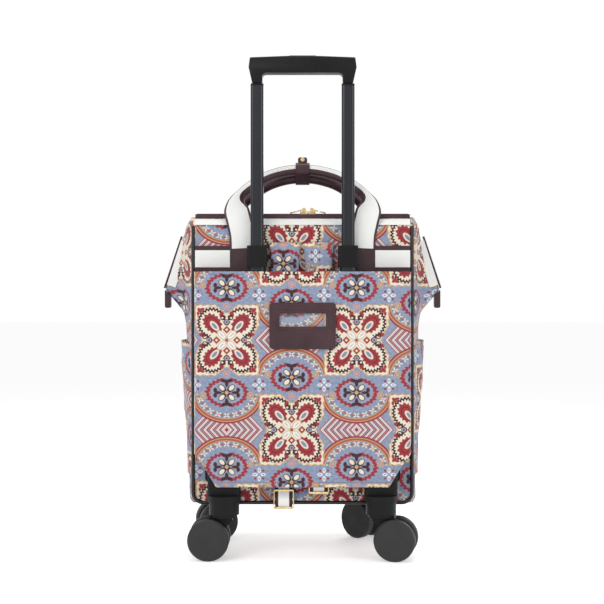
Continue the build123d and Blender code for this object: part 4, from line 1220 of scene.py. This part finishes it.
grip_piece = plain_block("grip_moulding", GRIP_LOW, GRIP_HIGH)
ridge_z = GRIP_LOW[2] + RIDGE_UP * MM
for side in (-1, 1):
    end_x = side * GRIP_HIGH[0]
    edge_y = GRIP_LOW[1] if side < 0 else GRIP_HIGH[1]
    crown_end = (end_x, 0.0, GRIP_HIGH[2] - CROWN_DROP * MM)
    slice_off(grip_piece, crown_end, (side * CROWN_DROP, 0.0, GRIP_HALF - CROWN_FLAT_HALF))
    slice_off(grip_piece, (end_x, 0.0, ridge_z), (side * RIDGE_UP, 0.0, -END_TAPER))
    slice_off(grip_piece, (end_x, 0.0, ridge_z), (side * CROWN_UP, 0.0, END_LEAN))
    slice_off(grip_piece, (0.0, edge_y, ridge_z), (0.0, side * CROWN_UP, FACE_LEAN))
    slice_off(grip_piece, (0.0, edge_y, ridge_z), (0.0, side * RIDGE_UP, -FACE_TAPER))
hand_gap = plain_block(
    "hand_gap",
    (-GAP_HALF * MM, GRIP_LOW[1] - BEYOND * MM, GRIP_LOW[2] - 2 * BEYOND * MM),
    (GAP_HALF * MM, GRIP_HIGH[1] + BEYOND * MM, GRIP_LOW[2] + UNDER_UP * MM),
)
round_edges(hand_gap, GAP_ROUND, 5)
hollow_out(grip_piece, hand_gap)
round_edges(grip_piece, GRIP_EDGE, 3)
room = Vector((WELL_ROOM, WELL_ROOM, 0.0)) * MM
button_well = plain_block(
    "button_well",
    BUTTON_LOW - room - Vector((0.0, 0.0, WELL_DEPTH * MM)),
    BUTTON_HIGH + room + Vector((0.0, 0.0, BEYOND * MM)),
)
hollow_out(grip_piece, button_well)
bpy.ops.object.select_all(action="DESELECT")
grip_piece.select_set(True)
bpy.ops.object.shade_smooth_by_angle(angle=SHARP)
hand_over(grip_piece, finishes["black_plastic"], "inner_stage")
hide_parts("grip")


# Floor
FLOOR_SIZE, FLOOR_GLOW = 40.0, 0.42
bpy.ops.mesh.primitive_plane_add(size=FLOOR_SIZE, location=(0.0, 0.0, 0.0))
floor = bpy.context.object
floor.name = "floor"
floor.data.materials.append(plain_finish(
    "floor", (0.80, 0.80, 0.80), 0.6, Emission_Color=(1.0, 1.0, 1.0, 1.0),
    Emission_Strength=FLOOR_GLOW,
))
floor.select_set(False)
